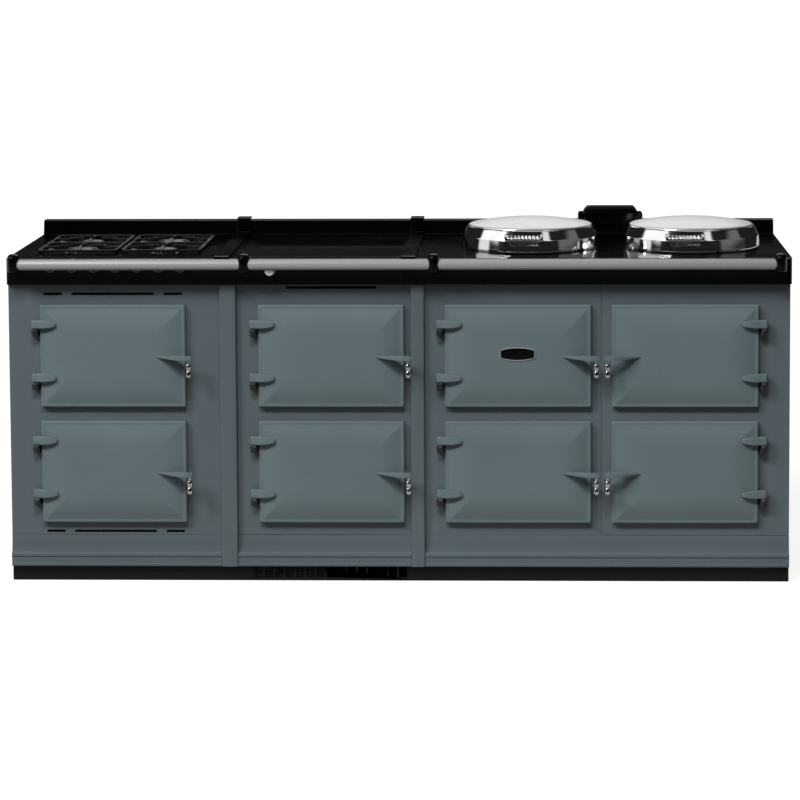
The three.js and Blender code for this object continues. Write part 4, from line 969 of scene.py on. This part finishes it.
for column in columns:
    for row in rows:
        place, side = hinge_line(column, row)
        for label, height in lug_heights.items():
            tab_top = height - lug_half - collar_clear - collar_height
            piece = copied(bracket, f"hinge_bracket_{label}_{column}_{row}",
                           place + Vector((0, 0, tab_top - tab_half)), 1)
            # The bracket's satin black is painted shade for the shadow under the lug.
            finished(piece, "range", sheet_black)
            piece = copied(pin, f"hinge_pin_{label}_{column}_{row}",
                           place + Vector((0, 0, tab_top)), 1)
            finished(piece, "range", pin_steel)
bpy.data.objects.remove(bracket)
bpy.data.objects.remove(pin)


# ---------------------------------------------------------------- door handles
# A long tapered spike grows out of the door's face and reaches past the free rim. A
# short turned chrome grip hangs from its end.
arm = block("arm_pattern", (-0.4195, -0.0475, -0.0056), (-0.4150, -0.0315, 0.0056))
drawn(arm, [(-0.404, -0.0390, 0.0092, 0.0064), (-0.390, -0.0350, 0.0115, 0.0063),
            (-0.372, -0.0270, 0.0120, 0.0054), (-0.352, -0.0180, 0.0100, 0.0041),
            (-0.334, -0.0115, 0.0065, 0.0027), (-0.3225, -0.0095, 0.0030, 0.0012)])
mode("EDIT")
bpy.ops.mesh.select_all(action="SELECT")
bpy.ops.transform.mirror(constraint_axis=(True, False, False), center_override=(0, 0, 0))
bpy.ops.mesh.normals_make_consistent(inside=False)
mode("OBJECT")
applied(arm, "BEVEL", width=0.0016, segments=2, limit_method="ANGLE",
        angle_limit=math.radians(60))
applied(arm, "SUBSURF", levels=2, render_levels=2)
bpy.ops.object.shade_smooth()
fitted(arm, "handle_arm", enamel)
bpy.data.objects.remove(arm)
grip = turned("grip_pattern", [(0.0030, -0.0523), (0.0052, -0.0514), (0.0068, -0.0498),
              (0.0077, -0.0470), (0.0078, -0.0430), (0.0074, -0.0388), (0.0064, -0.0352),
              (0.0056, -0.0338), (0.0056, -0.0330), (0.0064, -0.0316), (0.0074, -0.0280),
              (0.0078, -0.0238), (0.0077, -0.0198), (0.0068, -0.0166), (0.0056, -0.0148),
              (0.0042, -0.0140), (0.0042, -0.0073)], (0.412, -0.0395, 0), 32)
# The lids' chrome, painted darker for the door grips: painted shade that stands for the dark
# reflections the grips show.
shaded_grip_chrome = varied(material("chrome_painted_darker", (0.4, 0.4, 0.4), 0.14, 1.0), film,
                     {"Scale": 25.0, "Grain": 600.0}, (0.42, 0.42, 0.425), (0.36, 0.36, 0.365),
                     (0.08, 0.16), 0.00001)
fitted(grip, "chrome_grip", shaded_grip_chrome, "grip")
bpy.data.objects.remove(grip)


# ---------------------------------------------------------------- door badge
# A small oval plate sits in the middle of one upper door: bare black enamel in a bright
# rolled rim, with nothing on it.
place, side = hinge_line("right_a", "upper")


def oval(name, half_x, half_z, cut, depth):
    """An oval disc with cut ends that faces the front, its back in the plane y = 0."""
    piece = start(name, bpy.ops.mesh.primitive_circle_add, vertices=96, radius=half_x,
                  fill_type="NGON", rotation=(math.pi / 2, 0, 0))
    mode("EDIT")
    bpy.ops.mesh.select_all(action="SELECT")
    bpy.ops.transform.resize(value=(1, 1, half_z / half_x), center_override=(0, 0, 0))
    for way in (-1, 1):
        bpy.ops.mesh.select_all(action="SELECT")
        bpy.ops.mesh.bisect(plane_co=(way * cut, 0, 0), plane_no=(way, 0, 0),
                            clear_outer=True)
    bpy.ops.mesh.select_mode(type="FACE")
    bpy.ops.mesh.select_all(action="SELECT")
    bpy.ops.mesh.extrude_region_move(TRANSFORM_OT_translate={"value": (0, -depth, 0)})
    bpy.ops.mesh.select_all(action="SELECT")
    bpy.ops.mesh.normals_make_consistent(inside=False)
    choose(piece, "FACE", lambda f: f.normal.y < -0.9)
    return piece


def stepped(piece, steps):
    """Pushes the chosen face in or out through steps: width and height factors, depth."""
    for wide, high, depth in steps:
        bpy.ops.mesh.extrude_region_move(TRANSFORM_OT_translate={"value": (0, depth, 0)})
        bpy.ops.transform.resize(value=(wide, 1, high), center_override=(0, 0, 0))
    bpy.ops.mesh.select_all(action="SELECT")
    bpy.ops.mesh.normals_make_consistent(inside=False)
    bpy.ops.transform.translate(value=(place.x + 0.2045, place.y - 0.0118, place.z + 0.008))
    mode("OBJECT")
    smoothed(35)


rim = oval("badge_rim", 0.056, 0.0175, 0.047, 0.0030)
stepped(rim, [(0.988, 0.965, -0.0005), (0.976, 0.93, 0.0), (0.994, 0.98, 0.0013)])
finished(rim, "door_right_a_upper_body", chrome)
badge = oval("badge_plate", 0.0528, 0.0156, 0.0443, 0.0024)
stepped(badge, [(0.96, 0.9, -0.0002), (0.9, 0.8, -0.0002)])
finished(badge, "door_right_a_upper_body", gloss_black)


# ---------------------------------------------------------------- knobs
# Seven black moulded knobs for the gas hob and the ovens stand in a row on the left
# skirt, with raised pointer bars. One small bright knob serves the middle module.
knob_black = varied(material("knob_black", (0.008, 0.008, 0.009), 0.25), film,
                    {"Scale": 30.0, "Grain": 900.0}, (0.012, 0.012, 0.013),
                    (0.007, 0.007, 0.008), (0.2, 0.3), 0.00003)
# A white pointer tick. It also serves as painted highlight for the lit top edge of each bar.
tick_and_painted_highlight = varied(material("tick_and_painted_highlight", (0.6, 0.6, 0.6), 0.4), film,
                    {"Scale": 30.0, "Grain": 900.0}, (0.66, 0.66, 0.65), (0.58, 0.58, 0.57),
                    (0.35, 0.45), 0.00002)
knobs = [(f"hob_knob_{i}", 0.0195, knob_black, "knob_black") for i in range(1, 8)]
knobs.append(("thermostat_knob", 0.015, chrome, "chrome"))
for node, r, paint, slot in knobs:
    lo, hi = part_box(node)
    middle = Vector(((lo.x + hi.x) / 2, hi.y, (lo.z + hi.z) / 2))
    drum = turned(f"{node}_drum", [(r - 0.001, 0.0), (r, 0.001), (r, 0.0032),
                  (r - 0.0008, 0.0042), (r - 0.0024, 0.0140), (r - 0.0034, 0.0158),
                  (r - 0.0052, 0.0167), (r * 0.3, 0.0170)], middle, axis="Y")
    bar = block(f"{node}_bar", middle + Vector((-0.2 * r, -0.0234, -r + 0.003)),
                middle + Vector((0.2 * r, -0.014, r - 0.003)))
    applied(bar, "BEVEL", width=0.0016, segments=3)
    smoothed(40)
    made_one(drum, bar)
    finished(drum, f"{node}_body", paint, [node])
    if paint is knob_black:
        # The white tick at the top of the bar is a pointer mark and also a painted highlight on
        # the bar's top edge.
        tick = block(f"{node}_tick", middle + Vector((-0.001, -0.0236, r - 0.0095)),
                     middle + Vector((0.001, -0.0225, r - 0.0026)))
        applied(tick, "BEVEL", width=0.0004, segments=2)
        finished(tick, f"{node}_body", tick_and_painted_highlight)
